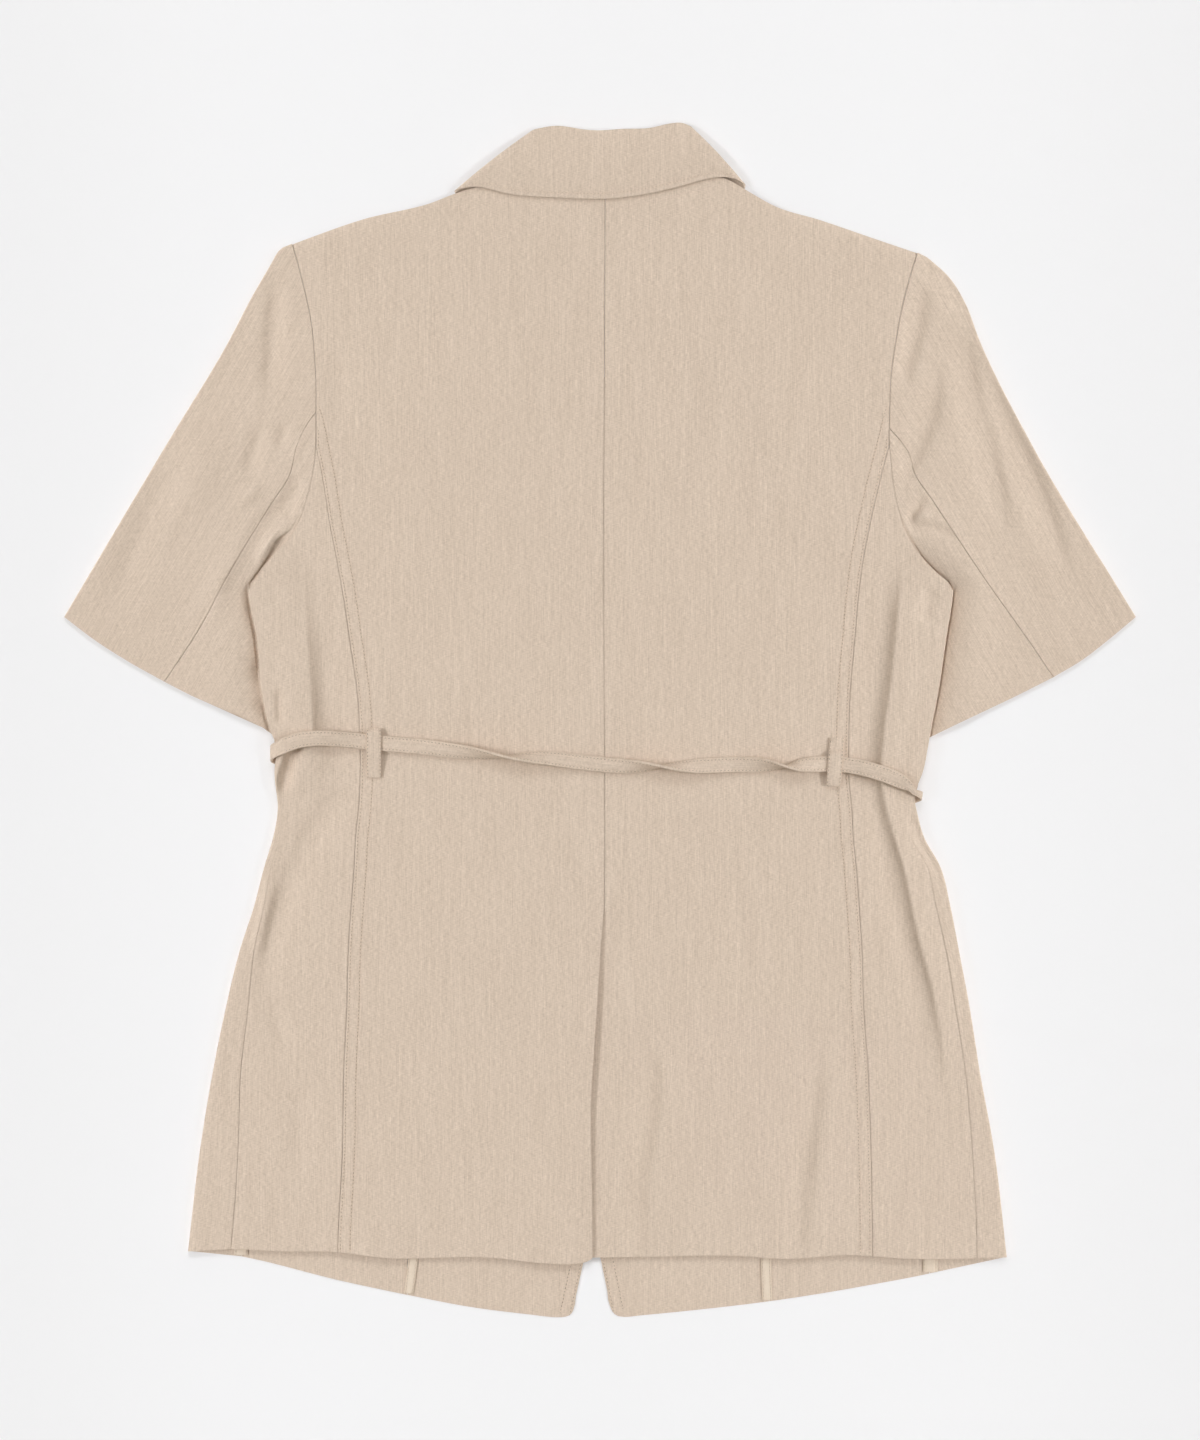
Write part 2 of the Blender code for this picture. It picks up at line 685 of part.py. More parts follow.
def hem_between(line, start, end, fractions):
    """The stretch of a hem between two of its points."""
    dense = smooth(line, HEM_STEPS)
    low, high = sorted((start[0], end[0]))
    inside = dense[(dense[:, 0] > low + 1) & (dense[:, 0] < high - 1)]
    if (inside[0, 0] - start[0]) ** 2 > (inside[-1, 0] - start[0]) ** 2:
        inside = inside[::-1]
    return sample(np.vstack([start, inside, end]), fractions)


def seam_to_hem(name, levels, hem):
    """A body seam through the levels given, ended on the hem."""
    points = at_levels(name, levels)
    foot = hem_point(hem, column(name, np.array([hem_point(hem, points[-1, 0])[1]]))[0])
    return np.vstack([points, foot])


def even(count):
    """Fractions from 0 to 1 in even steps."""
    return np.linspace(0, 1, count + 1)


def upper_fractions(side):
    """How far along the armhole, down to the princess seam, each of its stations lies."""
    return shares(armhole_part(side, 0.0, PRINCESS_STATION))


def centre_line(levels):
    """The centre back seam and the vent edge at the levels given."""
    seam = np.array(CENTRE_SEAM)[::-1]
    levels = np.asarray(levels, float)
    x = np.where(levels >= VENT_TOP, hermite(seam[:, 0], seam[:, 1], levels), vent_x(levels))
    return np.stack([x, levels], axis=1)


def neck_and_shoulder(side, fractions):
    """The top of a back half, from the shoulder point over the neck point to the centre."""
    neck = smooth([SHOULDERS[side][-1], NECKLINE_DIP[side], NECK_CENTRE], NECK_STEPS)
    return sample(np.vstack([smooth(SHOULDERS[side]), neck[1:]]), fractions)


def back_half(side, columns, root):
    """One half of the centre back, from its armhole and princess seam to the centre."""
    sign = inward(side)
    seam = seam_to_hem(f"{side}_princess", (TOP_LEVEL, *BODY_LEVELS), BACK_HEM[side])
    outer = np.vstack([armhole_part(side, 0.0, PRINCESS_STATION)[:-1], seam])
    upper_levels = NECK_CENTRE[1] + (TOP_LEVEL - NECK_CENTRE[1]) * upper_fractions(side)[:-1]
    centre = centre_line([*upper_levels, TOP_LEVEL, *BODY_LEVELS])
    hem_x = vent_x(np.array([BACK_HEM_LEVEL]))[0]
    if side == "right":
        below_dive = VENT_TOP - VENT_DIVE - centre[:, 1]
        centre[:, 0] -= UNDERLAY_WIDTH * np.clip(below_dive / UNDERLAY_SLOPE, 0, 1)
        hem_x -= UNDERLAY_WIDTH
    centre = np.vstack([centre, hem_point(BACK_HEM[side], hem_x)])
    outer = shifted(outer, sign * GAP / 2)
    centre = shifted(centre, -sign * GAP / 2)
    fractions = np.asarray(columns) if side == "left" else 1 - np.asarray(columns)[::-1]
    top = neck_and_shoulder(side, fractions)
    bottom = hem_between(BACK_HEM[side], outer[-1], centre[-1], fractions)
    plan = patch(top, bottom, outer, centre)
    heights = back_height(plan) if side == "left" else right_back_height(plan)
    add_wall(f"back_{side}", raised(plan, heights), CLOTH, root)


def side_levels():
    """Levels on a side seam that pair with those of the princess seam."""
    levels = np.array((TOP_LEVEL, *BODY_LEVELS))
    shrink = (ARMHOLE[-1].left_y - WAIST_LEVEL) / (TOP_LEVEL - WAIST_LEVEL)
    return np.where(levels > WAIST_LEVEL, WAIST_LEVEL + (levels - WAIST_LEVEL) * shrink, levels)


def side_body(side, layer, root):
    """The panel between the princess seam and the side seam, of the back or of the front."""
    sign = inward(side)
    front = layer == "front"
    hem = FRONT_HEM[side] if front else BACK_HEM[side]
    prefix = f"{side}_front" if front else side
    princess = seam_to_hem(f"{prefix}_princess", (TOP_LEVEL, *BODY_LEVELS), hem)
    seam = seam_to_hem(f"{prefix}_side", side_levels(), hem)
    top = armhole_part(side, PRINCESS_STATION, UNDERARM_STATION)[::-1]
    outer = shifted(seam, sign * GAP / 2)
    inner = shifted(princess, -sign * GAP / 2)
    top = shifted(top, -sign * GAP / 2)
    bottom = hem_between(hem, outer[-1], inner[-1], even(len(top) - 1))
    plan = patch(top, bottom, outer, inner)
    heights = front_height(plan) if front else back_height(plan)
    add_wall(f"{layer}_side_{side}", raised(plan, heights), CLOTH, root)


def wrapped(top, bottom, outward):
    """A sheet that runs over its upper points, round a fold and back along its lower ones."""
    centre = (top[:, -1] + bottom[:, -1]) / 2
    radius = (top[:, -1, 2] - bottom[:, -1, 2]) / 2
    angles = np.linspace(0, np.pi, ARC_STEPS + 1)[1:-1]
    turn = []
    for angle in angles:
        plan = centre[:, :2] + outward * (radius * np.sin(angle))[:, None]
        turn.append(raised(plan, centre[:, 2] + radius * np.cos(angle)))
    return np.concatenate([top, np.stack(turn, axis=1), bottom[:, ::-1]], axis=1)


def outward_of(line, sign):
    """Unit vectors to the outside of a line."""
    return shifted(line, -sign) - line


def fold_limit(edge, outward, upper, lower):
    """The points where a fold's curve starts, set in from the edge by its radius and half the cloth."""
    inset = edge - outward * FOLD_INSET
    radius = (upper(inset) - lower(inset)) / 2
    return edge - outward * (radius + CLOTH / 2)[:, None]


def between(start, end, count):
    """Plan points in even steps from one line to another, row by row."""
    t = even(count)[None, :, None]
    return start[:, None] * (1 - t) + end[:, None] * t


def side_panel(side, root):
    """The narrow panel that wraps the fold at the side of the body."""
    sign = inward(side)
    levels = side_levels()
    edge_levels = np.minimum(levels, UNDERARM_LEVEL - np.linspace(0.0, GAP, len(levels)))
    back_seam = shifted(seam_to_hem(f"{side}_side", levels, BACK_HEM[side]), -sign * GAP / 2)
    front_seam = shifted(seam_to_hem(f"{side}_front_side", levels, FRONT_HEM[side]), -sign * GAP / 2)
    edge = seam_to_hem(f"{side}_edge", edge_levels, BACK_HEM[side])
    outward = outward_of(edge, sign)
    limit = fold_limit(edge, outward, back_height, front_height)
    top = between(back_seam, limit, SIDE_COLUMNS)
    bottom = between(front_seam, limit, SIDE_COLUMNS)
    sheet = wrapped(raised(top, back_height(top)), raised(bottom, front_height(bottom)), outward)
    add_wall(f"side_{side}", sheet, CLOTH, root)


def front_half(side, root):
    """One centre front, with its neckline, straight edge and rounded hem corner."""
    sign = inward(side)
    levels = (TOP_LEVEL, *BODY_LEVELS, *FRONT_EXTRA_LEVELS)
    seam = seam_to_hem(f"{side}_front_princess", levels, FRONT_HEM[side])
    outer = np.vstack([armhole_part(side, 0.0, PRINCESS_STATION)[:-1], seam])
    route = np.array(FRONT_EDGE[side], float)
    neckline = sample(route[:NECKLINE_POINTS], upper_fractions(side)[:-1])
    edge_x = np.interp(levels, route[:2:-1, 1], route[:2:-1, 0])
    edge = np.vstack([neckline, np.stack([edge_x, levels], axis=1), route[-1]])
    outer = shifted(outer, sign * GAP / 2)
    edge = shifted(edge, -sign * 2 * GAP)
    top = sample(smooth(SHOULDERS[side]), FRONT_COLUMNS)
    hem = hem_between(FRONT_HEM[side], outer[-1], np.array(FRONT_CORNER[side][0]), even(LINE_STEPS))
    corner = smooth(FRONT_CORNER[side], CORNER_STEPS)
    bottom = sample(np.vstack([hem, corner[1:]]), FRONT_COLUMNS)
    plan = patch(top, bottom, outer, edge)
    heights = lapped_front_height(plan) if side == "left" else front_height(plan)
    add_wall(f"front_{side}", raised(plan, heights), CLOTH, root)


def under_layer(points):
    """The lower layer of a sleeve, flat on the surface."""
    return np.full(points.shape[:-1], FRONT_MID)


def upper_sleeve(side, root):
    """The upper sleeve: out from its back seam, round the outer fold and back below."""
    cut = SLEEVES[side]
    sign = inward(side)
    upper = partial(sleeve_height, side=side)
    head = shifted(armhole_part(side, 0.0, SLEEVE_SEAM_STATION), -sign * GAP / 2)[::-1]
    seam = shifted(sample(smooth(cut.back_seam), SLEEVE_ROWS), -sign * GAP / 2)
    edge = sample(smooth(cut.outer), SLEEVE_ROWS)
    outward = outward_of(edge, sign)
    limit = fold_limit(edge, outward, upper, under_layer)
    fractions = shares(head)
    cuff = sample(smooth(cut.cuff_outer), fractions)
    cuff = cuff + (limit[-1] - cuff[-1]) * fractions[:, None]
    plan = relaxed(patch(head, cuff, seam, limit))
    sheet = wrapped(raised(plan, upper(plan)), raised(plan, under_layer(plan)), outward)
    add_wall(f"upper_sleeve_{side}", sheet, CLOTH, root)


def under_sleeve(side, root):
    """The under sleeve: open along the armhole and folded along its inner edge below that."""
    cut = SLEEVES[side]
    sign = inward(side)
    upper = partial(sleeve_height, side=side)
    seam = shifted(sample(smooth(cut.back_seam), SLEEVE_ROWS), sign * GAP / 2)[1:]
    scye = shifted(armhole_part(side, SLEEVE_SEAM_STATION, UNDERARM_STATION), -sign * GAP / 2)
    scye[0] += (scye[1] - scye[0]) * SLEEVE_POINT_SHARE
    open_rows = len(scye) - 1
    edge = sample(smooth(cut.inner), even(len(seam) - len(scye)))
    outward = outward_of(edge, -sign)
    limit = fold_limit(edge, outward, upper, under_layer)
    inner = np.vstack([scye[:-1], limit])
    fractions = even(UNDER_SLEEVE_COLUMNS)
    cuff = sample(smooth(cut.cuff_inner), fractions)
    cuff = cuff + (limit[-1] - cuff[-1]) * fractions[:, None]
    plan = patch(sample(np.array([seam[0], inner[0]]), fractions), cuff, seam, inner)
    outward = np.vstack([np.tile(outward[0], (open_rows, 1)), outward])
    sheet = wrapped(raised(plan, upper(plan)), raised(plan, under_layer(plan)), outward)
    slit = Slit(open_rows, UNDER_SLEEVE_COLUMNS, UNDER_SLEEVE_COLUMNS + ARC_STEPS)
    add_wall(f"under_sleeve_{side}", sheet, CLOTH, root, slit)


def collar(root):
    """The collar: fall, roll line and stand, turned round the neck to plain front ends."""
    middle = (FALL_OFFSET + STAND_OFFSET) / 2
    sheet = []
    for station in COLLAR:
        side = "left" if station.roll_x < 0 else "right"
        turn = np.radians(station.turn)
        out = np.array([*(np.sin(turn) * np.array(FOLD_NORMALS[side])), np.cos(turn)])
        edge = np.array([station.edge_x, station.edge_y, COLLAR_CENTRE])
        roll = np.array([station.roll_x, station.roll_y, COLLAR_CENTRE])
        seam = np.array([station.seam_x, station.seam_y, COLLAR_CENTRE])
        beyond = (roll - edge) / np.linalg.norm(roll - edge)
        crown = FALL_CROWN * max(np.cos(turn), 0.0)
        row = []
        for t in even(FALL_STEPS):
            lift = crown * np.sin(np.pi * t)
            row.append(edge + (roll - edge) * t + out * (FALL_OFFSET + lift))
        for angle in np.pi * even(ROLL_STEPS)[1:]:
            height = middle + ROLL_RADIUS * np.cos(angle)
            row.append(roll + out * height + beyond * ROLL_RADIUS * np.sin(angle))
        for t in even(STAND_STEPS)[1:]:
            row.append(roll + (seam - roll) * t + out * STAND_OFFSET)
        sheet.append(row)
    add_wall("collar", np.array(sheet), COLLAR_WALL, root)


def belt_seat(points):
    """The highest cloth under the belt's width at points of its route."""
    tops = []
    for shift in np.linspace(-BELT_WIDTH / 2, BELT_WIDTH / 2, SPREAD_STEPS):
        tops.append(back_height(points + np.array([0.0, shift])))
    return np.max(tops, axis=0) + CLOTH / 2 + BELT_CLEAR


def belt_over_back():
    """Centres and width directions of the belt's stretch across the back."""
    rows = np.array(BELT_BACK, float)
    knots = lengths_along(rows[:, :2])
    route = hermite(knots, rows, np.linspace(0, knots[-1], BELT_STEPS))
    turn = np.radians(route[:, 2])
    plan = route[:, :2]
    along = np.gradient(plan, axis=0)
    along /= np.linalg.norm(along, axis=1, keepdims=True)
    rise = BELT_WIDTH / 2 * np.abs(np.sin(turn)) + BELT_THICK / 2 * np.abs(np.cos(turn))
    centres = raised(plan, belt_seat(plan) + rise)
    across = np.stack([-along[:, 1] * np.cos(turn), along[:, 0] * np.cos(turn), np.sin(turn)], axis=1)
    return centres, across


def belt_round_side(side):
    """Centres and width directions of the belt round one side, from the back to its end under the front."""
    level = BELT_WRAP_LEVEL[side]
    sign = inward(side)
    width = at_levels(f"{side}_edge", level + np.linspace(-BELT_WIDTH / 2, BELT_WIDTH / 2, SPREAD_STEPS))
    edge_x = -sign * np.max(-sign * width[:, 0])
    start = np.array([[edge_x + sign * FOLD_INSET, level]])
    upper = belt_seat(start)[0] + BELT_THICK / 2
    under = front_height(np.stack([np.full(len(width), start[0, 0]), width[:, 1]], axis=1)).min()
    lower = max(under - CLOTH / 2 - BELT_CLEAR - BELT_THICK / 2, BELT_THICK / 2)
    radius = (upper - lower) / 2
    limit = edge_x + sign * (radius - BELT_THICK / 2 - BELT_CLEAR)
    foot = belt_hidden(side)[0, 1]
    centres = []
    for share in even(BELT_WRAP_STEPS):
        angle = share * np.pi
        height = (upper + lower) / 2 + radius * np.cos(angle)
        centres.append([limit - sign * radius * np.sin(angle), level + (foot - level) * share, height])
    for point in sample(belt_hidden(side), even(BELT_HIDDEN_STEPS)):
        if point[0] * sign > limit * sign + BELT_WIDTH:
            centres.append([*point, BELT_THICK / 2])
    return np.array(centres), np.tile([0.0, 1.0, 0.0], (len(centres), 1))


def belt(root):
    """The narrow belt, from its plain end under one front over the back to the one under the other."""
    centres, across = belt_over_back()
    left, left_across = belt_round_side("left")
    right, right_across = belt_round_side("right")
    line = np.vstack([left[::-1], centres, right])
    widths = np.vstack([left_across, across, right_across * np.sign(across[-1, 1])])
    add_ribbon("belt", line, widths, BELT_WIDTH, BELT_THICK, root)


def belt_loop(side, root):
    """A stitched strip that bridges the belt on a princess seam."""
    loop = LOOPS[side]
    top, foot = np.array([loop.top_x, loop.top_y]), np.array([loop.foot_x, loop.foot_y])
    plan = sample(np.array([top, foot]), even(LOOP_STEPS))
    centres, _ = belt_over_back()
    middle = np.interp(plan[:, 0], centres[:, 0], centres[:, 1])
    clear = BELT_WIDTH / 2 + LOOP_EASE
    over = fade(np.abs(plan[:, 1] - middle), clear, clear + LOOP_SHOULDER)
    seat = belt_seat(plan) + LOOP_THICK / 2
    heights = seat + over * (BELT_THICK + BELT_CLEAR)
    across = np.tile([1.0, 0.0, 0.0], (len(plan), 1))
    add_ribbon(f"belt_loop_{side}", raised(plan, heights), across, LOOP_WIDTH, LOOP_THICK, root)


def binding(name, root):
    """The bound edge of a seam allowance on the inside of a front."""
    strip = BINDINGS[name]
    side = "left" if name.endswith("left") else "right"
    foot = hem_point(FRONT_HEM[side], column(strip.seam, np.array([FRONT_HEM_LEVEL]))[0])
    levels = np.linspace(BINDING_TOP, foot[1] + BINDING_HEM_CLEARANCE, BINDING_LEVELS)
    plan = at_levels(strip.seam, levels)
    heights = front_height(plan) + CLOTH / 2 + GAP + BINDING_THICK / 2
    across = np.tile([1.0, 0.0, 0.0], (len(plan), 1))
    add_ribbon(name, raised(plan, heights), across, strip.width, BINDING_THICK, root)


def main():
    for old in list(bpy.data.objects):
        bpy.data.objects.remove(old, do_unlink=True)
    root = bpy.data.objects.new("jacket", None)
    bpy.context.scene.collection.objects.link(root)
    back_half("left", BACK_LEFT_COLUMNS, root)
    back_half("right", BACK_RIGHT_COLUMNS, root)
    for side in SLEEVES:
        for layer in ("back", "front"):
            side_body(side, layer, root)
        side_panel(side, root)
        front_half(side, root)
        upper_sleeve(side, root)
        under_sleeve(side, root)
        belt_loop(side, root)
    collar(root)
    belt(root)
    for name in BINDINGS:
        binding(name, root)


main()
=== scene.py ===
"""A belted short-sleeved jacket laid flat with its back up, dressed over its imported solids.

Lengths are in millimetres up to the point where a mesh is made. X runs to the right across the back,
Y towards the collar and Z up from the surface that the jacket lies on. Left and right are the sides as
seen from above.
"""

import logging
import math
from collections.abc import Callable, Sequence
from dataclasses import dataclass
from enum import Enum
from functools import partial
from typing import NamedTuple

import bmesh
import bpy
import numpy as np
from bpy.types import Material, NodeSocket, NodeTree, Object, ShaderNodeGroup
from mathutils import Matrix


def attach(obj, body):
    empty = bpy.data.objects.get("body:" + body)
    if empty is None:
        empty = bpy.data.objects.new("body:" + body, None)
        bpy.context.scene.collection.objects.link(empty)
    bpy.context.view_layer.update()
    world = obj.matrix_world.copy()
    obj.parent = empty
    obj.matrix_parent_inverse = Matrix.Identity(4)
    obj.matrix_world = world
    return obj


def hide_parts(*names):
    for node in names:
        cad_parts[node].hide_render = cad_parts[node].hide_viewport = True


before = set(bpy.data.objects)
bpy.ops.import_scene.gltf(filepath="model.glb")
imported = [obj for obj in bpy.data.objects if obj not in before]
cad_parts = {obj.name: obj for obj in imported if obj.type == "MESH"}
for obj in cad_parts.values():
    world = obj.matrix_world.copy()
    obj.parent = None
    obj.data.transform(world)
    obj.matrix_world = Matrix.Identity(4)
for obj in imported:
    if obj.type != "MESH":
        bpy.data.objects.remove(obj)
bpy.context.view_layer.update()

log = logging.getLogger("jacket")

MM = 0.001
Array = np.ndarray
Pair = tuple[float, float]
Colour = tuple[float, float, float]
HeightAt = Callable[[Array], Array]
Row = tuple[Array, Array]


class Side(Enum):
    """The two sides of the jacket as seen from above."""

    LEFT = "left"
    RIGHT = "right"

    @property
    def inward(self) -> int:
        """1 where a downward line's left hand points to the middle of the back, else -1."""
        return 1 if self is Side.LEFT else -1


class Sewn(Enum):
    """What a row of stitches holds, each with its own depth of painted shade at its needle holes."""

    COLLAR = "collar_thread"
    SEAM = "seam_thread"
    STRIP = "strip_thread"


class Hold(Enum):
    """How a piece of cloth is held."""

    LAID = "laid"
    FOLDED = "folded"


class Fold(Enum):
    """How a crease turns at its crest."""

    SOFT = "soft"
    SHARP = "sharp"


class Section(NamedTuple):
    """Where seams and edges of the body lie at one level."""

    level: float
    left_edge: float
    left_side: float
    left_princess: float
    right_princess: float
    right_side: float
    right_edge: float
    left_front_side: float
    left_front_princess: float
    right_front_princess: float
    right_front_side: float


class Armhole(NamedTuple):
    """One station of both armhole seams."""

    left_x: float
    left_y: float
    right_x: float
    right_y: float


class SleeveCut(NamedTuple):
    """The lines that bound a sleeve."""

    outer: tuple[Pair, ...]
    back_seam: tuple[Pair, ...]
    inner: tuple[Pair, ...]
    cuff_outer: tuple[Pair, ...]
    cuff_inner: tuple[Pair, ...]


class Station(NamedTuple):
    """One station of the collar round the neck."""

    turn: float
    edge_x: float
    edge_y: float
    roll_x: float
    roll_y: float
    seam_x: float
    seam_y: float


class BeltPoint(NamedTuple):
    """One point of the belt's route, with its turn about its own length in degrees."""

    x: float
    y: float
    turn: float


class LoopPlace(NamedTuple):
    """The two ends of a belt loop."""

    top_x: float
    top_y: float
    foot_x: float
    foot_y: float


class Crease(NamedTuple):
    """A crease: its route, half widths to its left and right, and how far it rises."""

    route: tuple[Pair, ...]
    left: float
    right: float
    rise: float
    fade_in: float = 0.3
    fade_out: float = 0.3
    fold: Fold = Fold.SOFT


class Slit(NamedTuple):
    """Columns of a grid that stay open in its first rows."""

    rows: int
    first: int
    last: int


class Binding(NamedTuple):
    """The width of a bound allowance, how far it lies beside its seam and how it slants below the hem."""

    width: float
    aside: float
    slant: float


class Cut(NamedTuple):
    """The box of a flat cut of cloth and its area."""

    width: float
    length: float
    area: float


# Steps and margins of the lines that the pieces are built on
TINY = 1e-12
LINE_STEPS = 12
CREASE_STEPS = 6
CORNER_STEPS = 8
EDGE_STEPS = 10
SLEEVE_STEPS = 24
HEM_STEPS = 30
TUCK_POINTS = 8
SCYE_POINTS = 30
ARMHOLE_POINTS = 60
ARMHOLE_RUN = 150.0
HEM_CLEAR = 1.0
CROWDED = 1.4
SETTLE_ROUNDS = 1500
ROW_SAMPLE = 1.5
SLOPE_REACH = 0.6
RIM_ANGLE = math.radians(55)

# Heights of the layers over the surface
CLOTH = 1.0
SHOWN_CLOTH = 0.7
GAP = 0.3
LAYER = CLOTH + GAP
FRONT_MID = CLOTH / 2
LAP_RISE = LAYER
UNDERLAY_DROP = LAYER + 0.15
BACK_MID = FRONT_MID + 3 * LAYER
SLEEVE_FOLD_MID = FRONT_MID + 1.5
TUCK_RISE_FRONT = SLEEVE_FOLD_MID + LAYER - FRONT_MID
TUCK_RISE_BACK = 3.0
TUCK_FULL = 16.0
TUCK_GONE = 48.0
FOLD_INSET = (BACK_MID - FRONT_MID + CLOTH) / 2
FOLD_BULGE = 0.4
FOLD_SHAPE = 0.7
SHOULDER_ROUND = 7.0
SHOULDER_STEP = LAYER + 0.5

# Creases and how far they sink
RELIEF = 1.7
CREASE_REACH = 2.6
BACK_SINK = 2.0
SLEEVE_SINK = 2.9

# Seams, turned edges and rows of stitches
SEAM_GAP = 0.3
CENTRE_GAP = 0.28
CORNER_STATION = 0.06
SEAM_DIP = 0.14
SEAM_FULL = 0.12
SEAM_GONE = 0.55
EDGE_DIP = 0.12
EDGE_REACH = 0.6
ROW_START = 0.45
FIRST_ROW = 1.6
FIRST_PULL = 0.12
FIRST_REACH = 0.5
SECOND_ROW = 8.2
SECOND_PULL = 0.16
SECOND_REACH = 0.55
WELT_RISE = 0.14
WELT_FULL = 8.6
WELT_GONE = 10.2
WELT_DIP = 0.2
WELT_DIP_GONE = 0.6
HOLE_SPAN = 10.0

# Hollows where the sleeves run under the body's edge
HOLLOW_MID = 0.9
TRENCH_WIDTH = {Side.LEFT: 1.9, Side.RIGHT: 0.8}
TRENCH_WALL = 1.6
HOLLOW_SHARE = 0.88
HOLLOW_REACH = 7.0
SEAM_LEVEL_REACH = 5.0
CUFF_DROP = 1.6
CUFF_REACH = 45.0
HOLLOW_FROM = 0.16
HOLLOW_EASE = 0.3
UNDERARM_HOLE = {Side.LEFT: (-217.5, 121.0), Side.RIGHT: (213.0, 119.0)}
HOLE_WIDTH = {Side.LEFT: 3.0, Side.RIGHT: 0.6}
HOLE_REACH = 8.0
SLEEVE_PUFF = 2.4
PUFF_CREST = 15.0
PUFF_REACH = 13.0
UNDERLAP = 3.0
UNDERLAP_FROM = 0.2
UNDERLAP_EASE = 0.3

# Vent at the centre back
VENT_TOP = -126.0
VENT_DIVE = 8.0
UNDERLAY_WIDTH = 32.0
UNDERLAY_SLOPE = 26.0
VENT_LAP = 1.5
VENT_SLOPE = 16.0
VENT_BLEND = 4.0

# Belt and loops
BELT_WIDTH = 10.5
BELT_THICK = 1.8
BELT_FOOT = BELT_THICK / 2 + 0.15
BELT_CLEAR = 1.2
BELT_HIDDEN_END = 64.0
LOOP_WIDTH = 10.0
LOOP_THICK = 1.3
LOOP_EASE = 1.0
LOOP_SHOULDER = 4.0
LOOP_FALL = 17.0
STRIP_ROW = 1.5
LOOP_ROW = 0.8
STRIP_STITCH_SINK = 0.08
RIBBON_EDGE = 0.32
RIBBON_TURN = 0.3
RIBBON_SHOULDER = 0.7
RIBBON_QUARTER = 0.3
GROOVE_DEPTH = 0.22
GROOVE_REACH = 0.45

# Collar
COLLAR_WALL = 1.4
COLLAR_CENTRE = 3.6
FALL_OFFSET = 2.8
ROLL_RADIUS = 1.0
ROLL_DROP = 1.2
STAND_OFFSET = FALL_OFFSET - 2 * ROLL_RADIUS
FALL_CROWN = 2.0
COLLAR_TUCK_RISE = 1.9

# Bound seam allowances inside the fronts
BINDING_TOP = -96.0
BINDING_SHORT = 1.0
BINDING_POINTS = 120
BINDING_THICK = 0.7
BINDING_CROWN = 0.12
BINDING_ROW = 1.0
BINDING_FACE = 0.42
BINDINGS = {
    "front_binding_left": Binding(6.4, 4.1, 0.129),
    "front_binding_right": Binding(6.8, -2.4, -0.04),
    "side_binding_left": Binding(9.0, 0.0, 0.0),
    "side_binding_right": Binding(9.8, 0.5, 0.0),
}

# Levels and stations
TOP_LEVEL = 187.0
UNDERARM_LEVEL = 88.0
WAIST_LEVEL = -6.0
SIDE_SEAM_FLAT = -50.0
SIDE_SEAM_RISE = 90.0
SLEEVE_SEAM_STATION = 6
PRINCESS_STATION = 7
UNDERARM_STATION = 13

SECTIONS = tuple(Section(*row) for row in (
    (-370, -281, -252, -178, 185, 256, 277, -244, -131, 115, 224),
    (-361, -280, -251, -178, 185, 256, 276, -244, -131, 116, 224),
    (-293, -272, -246, -175, 184, 253, 268, -241, -133, 122, 225),
    (-238, -263, -244, -174, 182, 248, 258, -237, -135, 127, 224),
    (-194, -254, -239, -172, 179, 241, 251, -232, -137, 131, 223),
    (-157, -245, -235, -171, 178, 235, 244, -227, -139, 135, 221),
    (-126, -235, -228, -169, 176, 228, 238, -222, -140, 138, 219),
    (-99, -228, -223, -167, 174, 222, 231, -217, -142, 141, 215),
    (-79, -222, -217, -166, 172, 211, 220, -213, -143, 144, 210),
    (-60, -219, -216, -164, 171, 212.5, 216, -212, -144, 146, 209),
    (-41, -221, -218.5, -163, 169, 216.5, 219, -214, -145, 147, 212),
    (-11, -224, -221.5, -163, 169, 221.5, 224, -218, -150, 152, 217),
    (20, -230, -227.5, -165, 170, 227.5, 230, -223, -156, 158, 223),
    (54, -233, -230.5, -170, 173, 232.5, 235, -227, -164, 166, 229),
    (88, -239, -235, -175, 176, 236, 240, -235, -172, 174, 236),
    (110, -239, -235, -179, 179, 236, 240, -235, -178, 179, 236),
    (136, -239, -235, -184, 184, 236, 240, -235, -184, 184, 236),
    (162, -239, -235, -188, 190, 236, 240, -235, -189, 190, 236),
    (187, -239, -235, -193, 196.5, 236, 240, -235, -193, 196.5, 236),
))

ARMHOLE = tuple(Armhole(*row) for row in (
    (-209, 323, 215.5, 317),
    (-205, 309, 210, 299),
    (-200, 289, 205, 279),
    (-196, 269, 201, 257),
    (-194, 247, 198, 236),
    (-193, 228, 197, 216),
    (-193, 209, 196.5, 198),
    (-193, 187, 196.5, 187),
    (-195, 168, 199, 162),
    (-199, 151, 203, 142),
    (-204, 136, 209, 125),
    (-211, 124, 218, 111),
    (-221, 113, 227, 101.5),
    (-235, 94, 236, 94),
))

